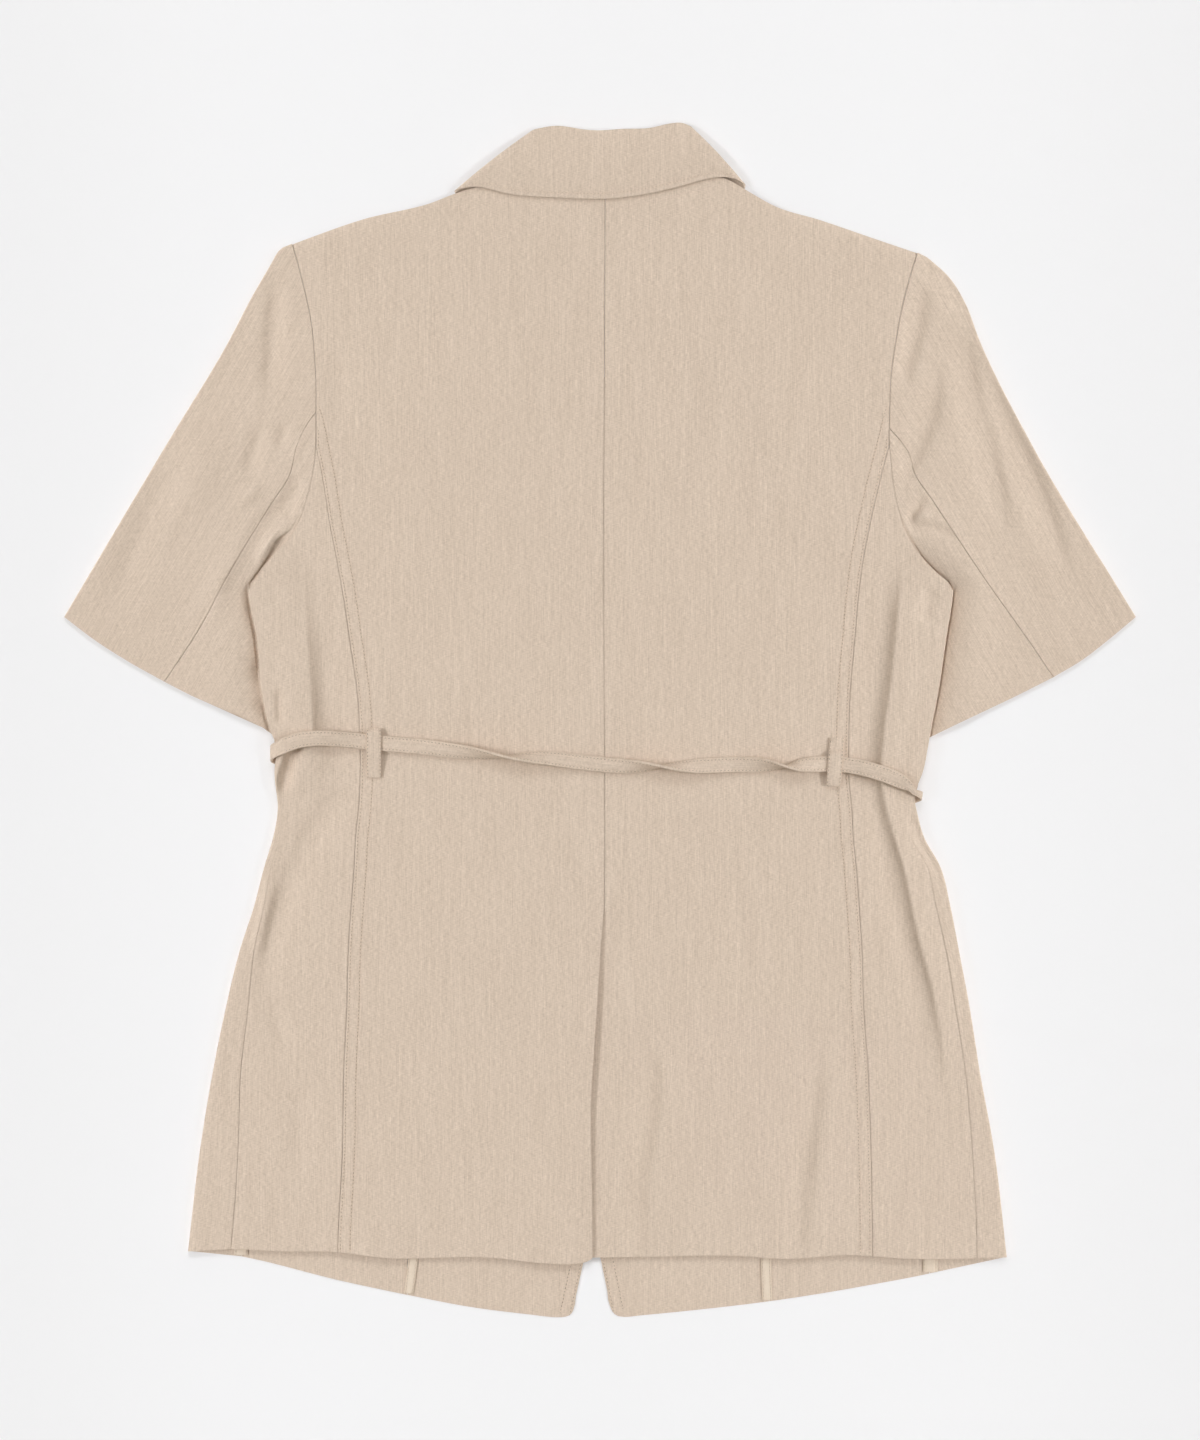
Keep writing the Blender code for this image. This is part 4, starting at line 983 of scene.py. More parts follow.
class Drape:
    """How high each layer of the jacket lies over the surface."""

    def __init__(self) -> None:
        """Works out the lines that the heights are measured from."""
        self.tuck_lines = {}
        self.shoulders = {}
        self.body_edges = {}
        self.armholes = {}
        self.cuffs = {}
        self.belt_ends = {}
        for side in Side:
            tucked = np.linspace(UNDERARM_LEVEL, SLEEVES[side].inner[-1][1], TUCK_POINTS)
            self.tuck_lines[side] = at_levels(f"{side.value}_edge", tucked)
            self.shoulders[side] = smooth(SHOULDERS[side])
            scye = armhole(side, np.linspace(PRINCESS_STATION, UNDERARM_STATION, SCYE_POINTS))
            self.body_edges[side] = np.vstack([scye, self.tuck_lines[side]])
            self.armholes[side] = armhole(side, np.linspace(0, UNDERARM_STATION, ARMHOLE_POINTS))
            self.cuffs[side] = np.vstack([SLEEVES[side].cuff_outer[::-1], SLEEVES[side].cuff_inner])
            self.belt_ends[side] = self.belt_hidden(side)

    @staticmethod
    def belt_hidden(side: Side) -> Array:
        """The belt's route under one front, from the side to its end.

        Args:
            side: The side that it is on.

        Returns:
            Three points of the route.
        """
        outer, inner = BELT_FRONT_LEVEL[side]
        edge = column(f"{side.value}_edge", np.array([outer]))[0]
        halfway = (-side.inward * (BELT_HIDDEN_END + abs(edge)) / 2, (outer + inner) / 2)
        return np.array([(edge, outer), halfway, (-side.inward * BELT_HIDDEN_END, inner)])

    def tuck(self, points: Array) -> Array:
        """How far the body is lifted over the tucked sleeves, from 0 to 1."""
        lifts = [fade(nearest(points, line)[0], TUCK_FULL, TUCK_GONE) for line in self.tuck_lines.values()]
        return np.maximum(*lifts)

    def front(self, points: Array) -> Array:
        """The middle of the front layer, with what lies under it.

        Args:
            points: Plan points.

        Returns:
            A height for each.
        """
        rise = TUCK_RISE_FRONT * self.tuck(points)
        for side in Side:
            over_belt = fade(nearest(points, self.belt_ends[side])[0], BELT_FULL, BELT_GONE)
            over_collar = fade(nearest(points, COLLAR_FRONT[side])[0], COLLAR_FULL, COLLAR_GONE)
            rise = np.maximum(rise, (BELT_THICK + GAP) * over_belt)
            rise = np.maximum(rise, COLLAR_TUCK_RISE * over_collar)
        return FRONT_MID + rise + crease_rise(FRONT_CREASES, points, FRONT_MID)

    def lapped_front(self, points: Array) -> Array:
        """The front that lies on the other one at the centre.

        Args:
            points: Plan points.

        Returns:
            A height for each.
        """
        edge = np.array(FRONT_EDGE[Side.RIGHT][2:])
        other = np.interp(points[..., 1], edge[::-1, 1], edge[::-1, 0])
        lap = ease((points[..., 0] - other + LAP_MARGIN) / LAP_SLOPE)
        above_hem = ease((points[..., 1] - LAP_LOW) / (LAP_FULL - LAP_LOW))
        below_neck = ease((LAP_TOP - points[..., 1]) / LAP_TOP_FADE)
        return self.front(points) + LAP_RISE * lap * above_hem * below_neck

    def back(self, points: Array) -> Array:
        """The middle of the back layer, coming down to the fronts along the shoulders.

        Args:
            points: Plan points.

        Returns:
            A height for each.
        """
        lift = TUCK_RISE_BACK * self.tuck(points)
        height = BACK_MID + lift + crease_rise(BODY_CREASES, points, BACK_SINK + lift)
        edge_height = self.front(points) + SHOULDER_STEP
        for side in Side:
            distance, _, _ = nearest(points, self.shoulders[side])
            inward = np.clip(distance / SHOULDER_ROUND, 0, 1)
            height = edge_height + (height - edge_height) * np.sqrt(1 - (1 - inward) ** 2)
        return height

    def right_back(self, points: Array) -> Array:
        """The right half of the back, which dips under the left one below the top of the vent.

        Args:
            points: Plan points.

        Returns:
            A height for each.
        """
        past_edge = points[..., 0] - vent_x(points[..., 1].ravel()).reshape(points.shape[:-1])
        dip = fade(past_edge, VENT_LAP, VENT_SLOPE) * ease((VENT_TOP - points[..., 1]) / VENT_DIVE)
        return self.back(points) - UNDERLAY_DROP * dip

    def hollow(self, points: Array, side: Side) -> tuple[Array, Array]:
        """How deep a sleeve sinks along the body's edge, from 0 to 1, and how far outside it points lie.

        Args:
            points: Plan points.
            side: The sleeve's side.

        Returns:
            The depth and the distance for each.
        """
        distance, along, hand = nearest(points, self.body_edges[side])
        outside = np.where(hand * side.inward < 0, distance, 0.0)
        return ease((along - HOLLOW_FROM) / HOLLOW_EASE), outside

    def sleeve(self, points: Array, side: Side) -> Array:
        """The upper layer of a sleeve, which sinks towards the body's edge and runs on under it.

        Args:
            points: Plan points.
            side: The sleeve's side.

        Returns:
            A height for each.
        """
        depth, outside = self.hollow(points, side)
        puff = SLEEVE_PUFF * depth * bell(outside - PUFF_CREST, PUFF_REACH)
        level = (1 - depth) * bell(nearest(points, self.armholes[side])[0], SEAM_LEVEL_REACH)
        drop = CUFF_DROP * fade(nearest(points, self.cuffs[side])[0], 0.0, CUFF_REACH)
        height = BACK_MID + puff - drop + (1 - level) * crease_rise(SLEEVE_CREASES, points, SLEEVE_SINK)
        hole = bell(np.linalg.norm(points - np.array(UNDERARM_HOLE[side]), axis=-1), HOLE_REACH)
        width = TRENCH_WIDTH[side] + HOLE_WIDTH[side] * hole
        trench = fade(outside, width, width + TRENCH_WALL)
        sunk = np.maximum(trench, HOLLOW_SHARE * np.exp(-outside / HOLLOW_REACH))
        return height + (HOLLOW_MID - height) * depth * sunk

    @staticmethod
    def under_sleeve(points: Array) -> Array:
        """The lower layer of a sleeve, on the surface."""
        return FRONT_MID + crease_rise(UNDER_CREASES, points, FRONT_MID)


def plain_seam(offset: Array) -> Array:
    """The dip of cloth into a pressed seam."""
    return -SEAM_DIP * fade(offset, SEAM_FULL, SEAM_GONE)


def topstitched_seam(offset: Array) -> Array:
    """The welt beside a seam that is stitched down twice.

    Args:
        offset: Distance from the seam.

    Returns:
        The rise at that distance.
    """
    welt = WELT_RISE * fade(offset, WELT_FULL, WELT_GONE) - WELT_DIP * fade(offset, SEAM_FULL, WELT_DIP_GONE)
    first = FIRST_PULL * bell(offset - FIRST_ROW, FIRST_REACH)
    return welt - first - SECOND_PULL * bell(offset - SECOND_ROW, SECOND_REACH)


def cut_edge(offset: Array) -> Array:
    """A turned edge, rounded over."""
    return -EDGE_DIP * bell(offset, EDGE_REACH)


# Distances of a panel's columns from its seams and edges
SEAM_COLUMNS = (0, 0.12, 0.34, 0.55, 1.0, 2.2)
STITCHED_COLUMNS = (
    0, 0.12, 0.36, 0.6, 0.95, 1.3, 1.6, 1.9, 2.4,
    4.2, 6.4, 7.5, 7.9, 8.2, 8.5, 9.0, 9.8, 11.2,
)
FOLD_COLUMNS = (0, 1.2)
EDGE_COLUMNS = (0, 0.5, 1.2, 2.4)
CORNER_COLUMNS = (0, 0.5, 1.2, 2.0, 3.0, 4.2, 5.6, 7.2, 9.0, 11.2, 14.0, 18.0)
SLOT_COLUMNS = tuple(np.arange(0, 13.2, 0.55))

WHOLE = Slit(0, 0, 0)


def wall(name: str, grid: Array, grain: Array, thickness: float, slit: Slit = WHOLE) -> Object:
    """A thin closed wall of cloth on a grid of points.

    Args:
        name: The piece's name.
        grid: The middle of the cloth, in rows and columns of points.
        grain: Places across and along the grain, for each point.
        thickness: The cloth's thickness.
        slit: Columns that stay open in the first rows.

    Returns:
        The piece.
    """
    rows, columns = grid.shape[:2]
    index = np.arange(rows * columns).reshape(rows, columns)
    quads = np.stack([index[:-1, :-1], index[:-1, 1:], index[1:, 1:], index[1:, :-1]], axis=-1)
    kept = np.ones(quads.shape[:2], bool)
    kept[: slit.rows, slit.first : slit.last] = False
    used, quads = np.unique(quads[kept], return_inverse=True)
    quads = quads.reshape(-1, 4)
    middle = grid.reshape(-1, 3)[used]
    corners = middle[quads]
    faced = np.cross(corners[:, 2] - corners[:, 0], corners[:, 3] - corners[:, 1])
    normals = np.zeros_like(middle)
    for corner in range(4):
        np.add.at(normals, quads[:, corner], faced)
    other = len(middle)
    normals = unit(normals)
    points = np.concatenate([middle + normals * thickness / 2, middle - normals * thickness / 2])
    ways = np.concatenate([quads[:, [k, (k + 1) % 4]] for k in range(4)])
    codes = ways[:, 0] * other + ways[:, 1]
    rim = ways[~np.isin(codes, ways[:, 1] * other + ways[:, 0])]
    bands = np.stack([rim[:, 1], rim[:, 0], rim[:, 0] + other, rim[:, 1] + other], axis=1)
    faces = np.concatenate([quads, quads[:, ::-1] + other, bands])
    places = np.tile(grain.reshape(-1, 2)[used], (2, 1))
    return piece_from(name, points, faces.tolist(), places)


def piece_from(name: str, points: Array, faces: list, grain: Array) -> Object:
    """A named piece from points in millimetres.

    Args:
        name: The piece's name.
        points: Its points.
        faces: Its faces, as lists of point numbers.
        grain: Places across and along the grain, for each point.

    Returns:
        The piece, smooth but for its rim.
    """
    mesh = bpy.data.meshes.new(name)
    mesh.from_pydata((points * MM).tolist(), [], faces)
    work = bmesh.new()
    work.from_mesh(mesh)
    bmesh.ops.recalc_face_normals(work, faces=work.faces)
    work.to_mesh(mesh)
    work.free()
    corners = np.empty(len(mesh.loops), np.int32)
    mesh.loops.foreach_get("vertex_index", corners)
    layer = mesh.uv_layers.new(name="grain")
    layer.uv.foreach_set("vector", (grain[corners] * MM).astype(np.float32).ravel())
    mesh.shade_smooth()
    mesh.set_sharp_from_angle(angle=RIM_ANGLE)
    piece = bpy.data.objects.new(name, mesh)
    bpy.context.scene.collection.objects.link(piece)
    return piece


def ribbon(name: str, centres: Array, across: Array, width: float, thickness: float,
           crown: float, groove: float, spread: Array | float = 1.0) -> Object:
    """A flat strip with rounded edges along a line of centres.

    Args:
        name: The piece's name.
        centres: Its middle line.
        across: The direction of its width at each centre.
        width: Its width.
        thickness: Its thickness.
        crown: How much thicker it is in its middle.
        groove: How far from each edge its stitches pull it in.
        spread: The share of its width that it keeps at each centre.

    Returns:
        The piece.
    """
    across = unit(across)
    up = unit(np.cross(np.gradient(centres, axis=0), across))
    half, low = width / 2, thickness / 2
    turned = (half - RIBBON_EDGE * RIBBON_TURN, low * RIBBON_SHOULDER)
    upper = [(half, 0.0), turned, (half - RIBBON_EDGE, low)]
    row = half - groove
    for at in (row + GROOVE_REACH, row, row - GROOVE_REACH, half * RIBBON_QUARTER, 0.0):
        pulled = GROOVE_DEPTH if at == row else 0.0
        upper.append((at, low + crown * (1 - (at / half) ** 2) - pulled))
    upper += [(-a, b) for a, b in upper[-2::-1]]
    ring = upper + [(a, -b) for a, b in upper[-2:0:-1]]
    held = across * np.broadcast_to(spread, len(centres))[:, None]
    points = np.stack([centres + held * a + up * b for a, b in ring], axis=1)
    count = len(ring)
    index = np.arange(len(centres) * count).reshape(len(centres), count)
    beside = np.roll(index, -1, axis=1)
    bands = np.stack([index[:-1], beside[:-1], beside[1:], index[1:]], axis=-1).reshape(-1, 4)
    faces = bands.tolist() + [index[0, ::-1].tolist(), index[-1].tolist()]
    lengths = lengths_along(centres)
    places = np.stack([np.tile([a for a, _ in ring], (len(centres), 1)),
                       np.repeat(lengths[:, None], count, axis=1)], axis=-1)
    return piece_from(name, points.reshape(-1, 3), faces, places.reshape(-1, 2))


@dataclass(frozen=True)
class Thread:
    """The sewing thread and how it is stitched."""

    pitch: float = 2.45
    length: float = 2.3
    radius: float = 0.24
    sunk: float = 0.2
    proud: float = 0.05
    sides: int = 6
    rings: tuple[float, ...] = (-0.5, -0.36, 0.0, 0.36, 0.5)
    sizes: tuple[float, ...] = (0.8, 0.95, 1.0, 0.95, 0.8)
    reach: float = 0.3
    grain_step: float = 3.1

    def rows(self, name: str, lines: Sequence[Row]) -> Object:
        """Rows of stitches as one piece.

        Args:
            name: The piece's name.
            lines: For each row, its line on the cloth's face and the outward direction at each point.

        Returns:
            The piece.
        """
        drops = (-self.sunk, 0.0, self.proud, 0.0, -self.sunk)
        angles = np.linspace(0, 2 * np.pi, self.sides, endpoint=False)
        last, n = len(self.rings) - 1, self.sides
        points, faces, grain = [], [], []
        for line, outward in lines:
            whole = lengths_along(line)[-1]
            count = max(1, int(whole / self.pitch))
            middles = (np.arange(count) + 0.5) / count
            at = sample(line, middles)
            step = self.reach / whole
            ahead = sample(line, np.clip(middles + step, 0, 1)) - sample(line, np.clip(middles - step, 0, 1))
            ahead = unit(ahead)
            out = unit(np.stack([np.interp(middles, shares(line), part) for part in outward.T], axis=1))
            beside = np.cross(out, ahead)
            for centre, a, o, b in zip(at, ahead, out, beside):
                base = len(points)
                for ring, size, drop in zip(self.rings, self.sizes, drops):
                    middle = centre + a * ring * self.length + o * drop
                    for angle in angles:
                        turn = b * np.cos(angle) + o * np.sin(angle)
                        points.append(middle + turn * self.radius * size)
                        grain.append((angle * self.radius + self.grain_step * base, ring * HOLE_SPAN))
                for low in range(base, base + last * n, n):
                    for s in range(n):
                        after = (s + 1) % n
                        faces.append([low + s, low + after, low + n + after, low + n + s])
                faces.append(list(range(base, base + n))[::-1])
                faces.append(list(range(base + last * n, base + (last + 1) * n)))
        return piece_from(name, np.array(points), faces, np.array(grain))


def on_cloth(line: Array, height: HeightAt, lift: float) -> Row:
    """A plan line laid on the face of a layer.

    Args:
        line: The plan line.
        height: The middle height of the layer.
        lift: How far the face lies over that middle.

    Returns:
        The points on the face and the upward direction at each.
    """
    dense = sample(line, even(max(2, int(lengths_along(line)[-1] / ROW_SAMPLE))))
    falls = [
        (height(dense - reach) - height(dense + reach)) / (2 * SLOPE_REACH)
        for reach in SLOPE_REACH * np.eye(2)
    ]
    up = np.stack([*falls, np.ones(len(dense))], axis=1)
    return raised(dense, height(dense) + lift), up


MIDDLE = 0.5


@dataclass
class WeaveNodes:
    """Shader node groups that the finishes share, with sizes of yarns and clouds in millimetres."""

    warp_pitch: float = 0.5
    warp_run: float = 6.0
    slub_run: float = 60.0
    weft_pitch: float = 0.55
    weft_run: float = 3.2
    heights: tuple[float, float, float] = (0.6, 0.4, 0.5)
    yarn_spread: float = 971.0
    cloud_size: Pair = (34.0, 46.0)
    cloud_weight: float = 0.8
    band_size: Pair = (120.0, 9.0)
    band_weight: float = 0.35
    noise_roughness: float = 0.55
    # Where the painted needle-hole shade starts and where it is full, as shares of a stitch's span.
    hole_shade_from: float = 0.30
    hole_shade_full: float = 0.38

    def __post_init__(self) -> None:
        """Builds each group once."""
        self.slub = self.slub_weave()
        self.cloud = self.soft_tone()
        self.hole_shade = self.needle_hole_shade()

    @staticmethod
    def group(name: str, weights: Sequence[str], outputs: Sequence[str]) -> NodeTree:
        """An empty node group with named sockets.

        Args:
            name: The group's name.
            weights: Name of each value that goes in beside the place on the cloth.
            outputs: Name of each value that comes out.

        Returns:
            The group's tree.
        """
        tree = bpy.data.node_groups.new(name, "ShaderNodeTree")
        tree.interface.new_socket("Place", in_out="INPUT", socket_type="NodeSocketVector")
        for label in weights:
            tree.interface.new_socket(label, in_out="INPUT", socket_type="NodeSocketFloat")
        for label in outputs:
            tree.interface.new_socket(label, in_out="OUTPUT", socket_type="NodeSocketFloat")
        tree.nodes.new("NodeGroupInput")
        tree.nodes.new("NodeGroupOutput")
        return tree

    def stretched_noise(self, tree: NodeTree, size: Pair, detail: float) -> NodeSocket:
        """Noise drawn out across or along the grain.

        Args:
            tree: The group that takes the nodes.
            size: Size of its patches across and along the grain.
            detail: Octaves of finer noise.

        Returns:
            The noise value, about 0.5.
        """
        scale = tree.nodes.new("ShaderNodeVectorMath")
        scale.operation = "MULTIPLY"
        scale.inputs[1].default_value = (1 / (size[0] * MM), 1 / (size[1] * MM), 1.0)
        noise = tree.nodes.new("ShaderNodeTexNoise")
        noise.noise_dimensions = "2D"
        noise.inputs["Scale"].default_value = 1.0
        noise.inputs["Detail"].default_value = detail
        noise.inputs["Roughness"].default_value = self.noise_roughness
        tree.links.new(tree.nodes["Group Input"].outputs["Place"], scale.inputs[0])
        tree.links.new(scale.outputs[0], noise.inputs["Vector"])
        return noise.outputs["Fac"]

    @staticmethod
    def math_node(tree: NodeTree, operation: str, *values: NodeSocket | float) -> NodeSocket:
        """One step of arithmetic.

        Args:
            tree: The tree that takes the node.
            operation: What it does.
            values: Its values, linked or set.

        Returns:
            The result.
        """
        node = tree.nodes.new("ShaderNodeMath")
        node.operation = operation
        for entry, value in zip(node.inputs, values):
            if isinstance(value, float):
                entry.default_value = value
            else:
                tree.links.new(value, entry)
        return node.outputs[0]

    @staticmethod
    def split_place(tree: NodeTree) -> tuple[NodeSocket, NodeSocket]:
        """The place across and along the grain, in metres.

        Args:
            tree: The group's node tree.

        Returns:
            The sockets for x and y.
        """
        split = tree.nodes.new("ShaderNodeSeparateXYZ")
        tree.links.new(tree.nodes["Group Input"].outputs["Place"], split.inputs[0])
        return split.outputs["X"], split.outputs["Y"]

    def yarns(self, tree: NodeTree, across: NodeSocket, along: NodeSocket,
              pitch: float, run: float) -> NodeSocket:
        """The thick and thin of one set of yarns, each yarn with its own run.

        Args:
            tree: The group that takes the nodes.
            across: Place across the yarns, in metres.
            along: Place along them.
            pitch: Spacing of the yarns.
            run: Length of their slubs.

        Returns:
            A value about 0.5.
        """
        number = self.math_node(tree, "FLOOR", self.math_node(tree, "DIVIDE", across, pitch * MM))
        chance = tree.nodes.new("ShaderNodeTexWhiteNoise")
        chance.noise_dimensions = "1D"
        tree.links.new(number, chance.inputs["W"])
        start = self.math_node(tree, "MULTIPLY", chance.outputs["Value"], self.yarn_spread)
        place = self.math_node(tree, "ADD", self.math_node(tree, "DIVIDE", along, run * MM), start)
        noise = tree.nodes.new("ShaderNodeTexNoise")
        noise.noise_dimensions = "1D"
        noise.inputs["Scale"].default_value = 1.0
        noise.inputs["Detail"].default_value = 1.0
        tree.links.new(place, noise.inputs["W"])
        return noise.outputs["Fac"]

    def weighed(self, tree: NodeTree, values: Sequence[NodeSocket],
                weights: Sequence[NodeSocket | float]) -> NodeSocket:
        """A sum about the middle of values, each less its own middle and times its weight.

        Args:
            tree: The group that takes the nodes.
            values: The values.
            weights: The weight of each.

        Returns:
            The sum.
        """
        total: NodeSocket | float = MIDDLE
        for value, weight in zip(values, weights):
            centred = self.math_node(tree, "SUBTRACT", value, MIDDLE)
            total = self.math_node(tree, "MULTIPLY_ADD", centred, weight, total)
        return total

    def slub_weave(self) -> NodeTree:
        """A plain weave of uneven yarns: its shade about 0.5 and its height.

        Returns:
            The node group.
        """
        tree = self.group("slub_weave", ["Slub", "Cross"], ["Shade", "Height"])
        entry, leave = tree.nodes["Group Input"], tree.nodes["Group Output"]
        slub, cross = entry.outputs["Slub"], entry.outputs["Cross"]
        x, y = self.split_place(tree)
        yarns = [
            self.yarns(tree, x, y, self.warp_pitch, self.warp_run),
            self.yarns(tree, x, y, self.warp_pitch, self.slub_run),
            self.yarns(tree, y, x, self.weft_pitch, self.weft_run),
        ]
        tree.links.new(self.weighed(tree, yarns, (slub, slub, cross)), leave.inputs["Shade"])
        tree.links.new(self.weighed(tree, yarns, self.heights), leave.inputs["Height"])
        return tree

    def soft_tone(self) -> NodeTree:
        """Wide soft changes of tone over a panel.

        Returns:
            The node group.
        """
        tree = self.group("soft_tone", [], ["Tone"])
        cloud = self.stretched_noise(tree, self.cloud_size, 2.0)
        band = self.stretched_noise(tree, self.band_size, 1.0)
        tone = self.weighed(tree, (cloud, band), (self.cloud_weight, self.band_weight))
        tree.links.new(tone, tree.nodes["Group Output"].inputs["Tone"])
        return tree

    def needle_hole_shade(self) -> NodeTree:
        """A mask of painted shade that is 1 at both ends of a stitch, where the thread goes down into the
        cloth.

        Returns:
            The node group.
        """
        tree = self.group("needle_hole_shade", [], ["Mask"])
        _, along = self.split_place(tree)
        ends = tree.nodes.new("ShaderNodeMapRange")
        ends.interpolation_type = "SMOOTHSTEP"
        ends.inputs["From Min"].default_value = self.hole_shade_from * HOLE_SPAN * MM
        ends.inputs["From Max"].default_value = self.hole_shade_full * HOLE_SPAN * MM
        tree.links.new(self.math_node(tree, "ABSOLUTE", along), ends.inputs["Value"])
        tree.links.new(ends.outputs["Result"], tree.nodes["Group Output"].inputs["Mask"])
        return tree


def plain_material(name: str, roughness: float, specular: float) -> Material:
    """A material whose shader has its roughness and specular level set.

    Args:
        name: Its name.
        roughness: Its roughness.
        specular: Its specular level.

    Returns:
        The material.
    """
    material = bpy.data.materials.new(name)
    material.use_nodes = True
    shader = material.node_tree.nodes["Principled BSDF"]
    shader.inputs["Roughness"].default_value = roughness
    shader.inputs["Specular IOR Level"].default_value = specular
    return material


def placed_group(tree: NodeTree, group: NodeTree) -> ShaderNodeGroup:
    """A shared group in a material, fed with places on the grain.

    Args:
        tree: The material's tree.
        group: The shared group.

    Returns:
        The group's node.
    """
    grain = tree.nodes.new("ShaderNodeUVMap")
    grain.uv_map = "grain"
    node = tree.nodes.new("ShaderNodeGroup")
    node.node_tree = group
    tree.links.new(grain.outputs["UV"], node.inputs["Place"])
    return node


def mixed_colour(tree: NodeTree, factor: NodeSocket, first: Colour, second: Colour) -> None:
    """Mixes two colours into the shader's base colour.

    Args:
        tree: The material's tree.
        factor: The share of the second colour.
        first: The colour at 0.
        second: The colour at 1.
    """
    mix = tree.nodes.new("ShaderNodeMix")
    mix.data_type = "RGBA"
    mix.inputs["A"].default_value = (*first, 1)
    mix.inputs["B"].default_value = (*second, 1)
    tree.links.new(factor, mix.inputs["Factor"])
    tree.links.new(mix.outputs["Result"], tree.nodes["Principled BSDF"].inputs["Base Color"])


# Painted shade at the needle holes: the dark colour that each kind of stitch row turns to at its ends.
NEEDLE_HOLE_SHADE = {
    Sewn.COLLAR: (0.560, 0.450, 0.355),
    Sewn.SEAM: (0.360, 0.280, 0.215),
    Sewn.STRIP: (0.200, 0.150, 0.110),
}


@dataclass(frozen=True)
class SewingThread:
    """The sewing thread, with painted shade where each stitch goes down into its needle hole."""

    name: str
    # hole is the painted shade colour at the needle holes, not a colour of the thread.
    hole: Colour
    colour: Colour = (0.735, 0.605, 0.490)
    roughness: float = 0.75
    specular: float = 0.25

    def material(self, nodes: WeaveNodes) -> Material:
        """The finish as a material, with the shared node groups.

        Args:
            nodes: The shared node groups.

        Returns:
            The material.
        """
        material = plain_material(self.name, self.roughness, self.specular)
        tree = material.node_tree
        hole_shade = placed_group(tree, nodes.hole_shade)
        # The thread's ends take the painted needle-hole shade.
        mixed_colour(tree, hole_shade.outputs["Mask"], self.colour, self.hole)
        return material


@dataclass(frozen=True)
class Suiting:
    """The slub-weave suiting, dark and light yarns in linear colour."""

    name: str
    dark: Colour = (0.560, 0.446, 0.350)
    light: Colour = (0.800, 0.667, 0.550)
    slub: float = 0.66
    cross: float = 0.8
    tone: float = 0.09
    roughness: float = 0.86
    specular: float = 0.25
    sheen: float = 0.08
    sheen_roughness: float = 0.6
    bump: float = 0.35
    depth: float = 0.00022

    def material(self, nodes: WeaveNodes) -> Material:
        """The finish as a material.

        Args:
            nodes: The shared node groups.

        Returns:
            The material.
        """
        material = plain_material(self.name, self.roughness, self.specular)
        tree = material.node_tree
        shader = tree.nodes["Principled BSDF"]
        shader.inputs["Sheen Weight"].default_value = self.sheen
        shader.inputs["Sheen Roughness"].default_value = self.sheen_roughness
        weave = placed_group(tree, nodes.slub)
        weave.inputs["Slub"].default_value = self.slub
        weave.inputs["Cross"].default_value = self.cross
        cloud = placed_group(tree, nodes.cloud)
        tone, shade = cloud.outputs["Tone"], weave.outputs["Shade"]
        toned = nodes.math_node(tree, "MULTIPLY_ADD", tone, self.tone, shade)
        share = nodes.math_node(tree, "SUBTRACT", toned, MIDDLE * self.tone)
        mixed_colour(tree, share, self.dark, self.light)
        bump = tree.nodes.new("ShaderNodeBump")
        bump.inputs["Strength"].default_value = self.bump
        bump.inputs["Distance"].default_value = self.depth
        tree.links.new(weave.outputs["Height"], bump.inputs["Height"])
        tree.links.new(bump.outputs["Normal"], shader.inputs["Normal"])
        return material


SUITING = Suiting("beige_suiting")
TAPE = Suiting("seam_binding", dark=(0.68, 0.56, 0.44), light=(0.90, 0.78, 0.645), slub=0.3, cross=0.3)


@dataclass
class Workroom:
    """What every sub-assembly needs to build and dress its pieces."""

    drape: Drape
    thread: Thread
    suiting: Material
    binding: Material
    sewing: dict[Sewn, Material]
    bolt_step: Pair = (173.0, 311.0)
    count: int = 0

    def grain_shift(self) -> Array:
        """A new place on the bolt of cloth for the next piece."""
        self.count += 1
        return np.array(self.bolt_step) * self.count

    def dress(self, piece: Object, material: Material, node: str, replaces: bool = True) -> None:
        """Gives a piece its finish and its place in the frame.

        Args:
            piece: The piece.
            material: Its finish.
            node: The node that it stands for or goes with.
            replaces: Whether it takes the node's place.
        """
        piece.data.materials.append(material)
        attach(piece, "root")
        if replaces:
            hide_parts(node)
        log.info("%s: %d faces", piece.name, len(piece.data.polygons))

    def panel(self, node: str, grid: Array, grain: Array, slit: Slit = WHOLE) -> Object:
        """Builds and dresses a panel of suiting.

        Args:
            node: The node that it stands for.
            grid: The middle of the cloth, in rows and columns of points.
            grain: Places across and along the grain, for each point.
            slit: Columns that stay open in the first rows.

        Returns:
            The piece.
        """
        piece = wall(f"{node}_panel", grid, grain, SHOWN_CLOTH, slit)
        self.dress(piece, self.suiting, node)
        return piece

    def flat_panel(self, node: str, plan: Array, heights: Array) -> Object:
        """Builds and dresses a panel whose grain runs up and down the jacket."""
        return self.panel(node, raised(plan, heights), plan + self.grain_shift())

    def stitch(self, name: str, node: str, lines: Sequence[Row], sewn: Sewn = Sewn.SEAM) -> Object:
        """Rows of stitches that go with a node.

        Args:
            name: The rows' name.
            node: The node.
            lines: Each row's line and outward directions.
            sewn: What the rows hold.

        Returns:
            The piece.
        """
        piece = self.thread.rows(name, lines)
        self.dress(piece, self.sewing[sewn], node, replaces=False)
        return piece


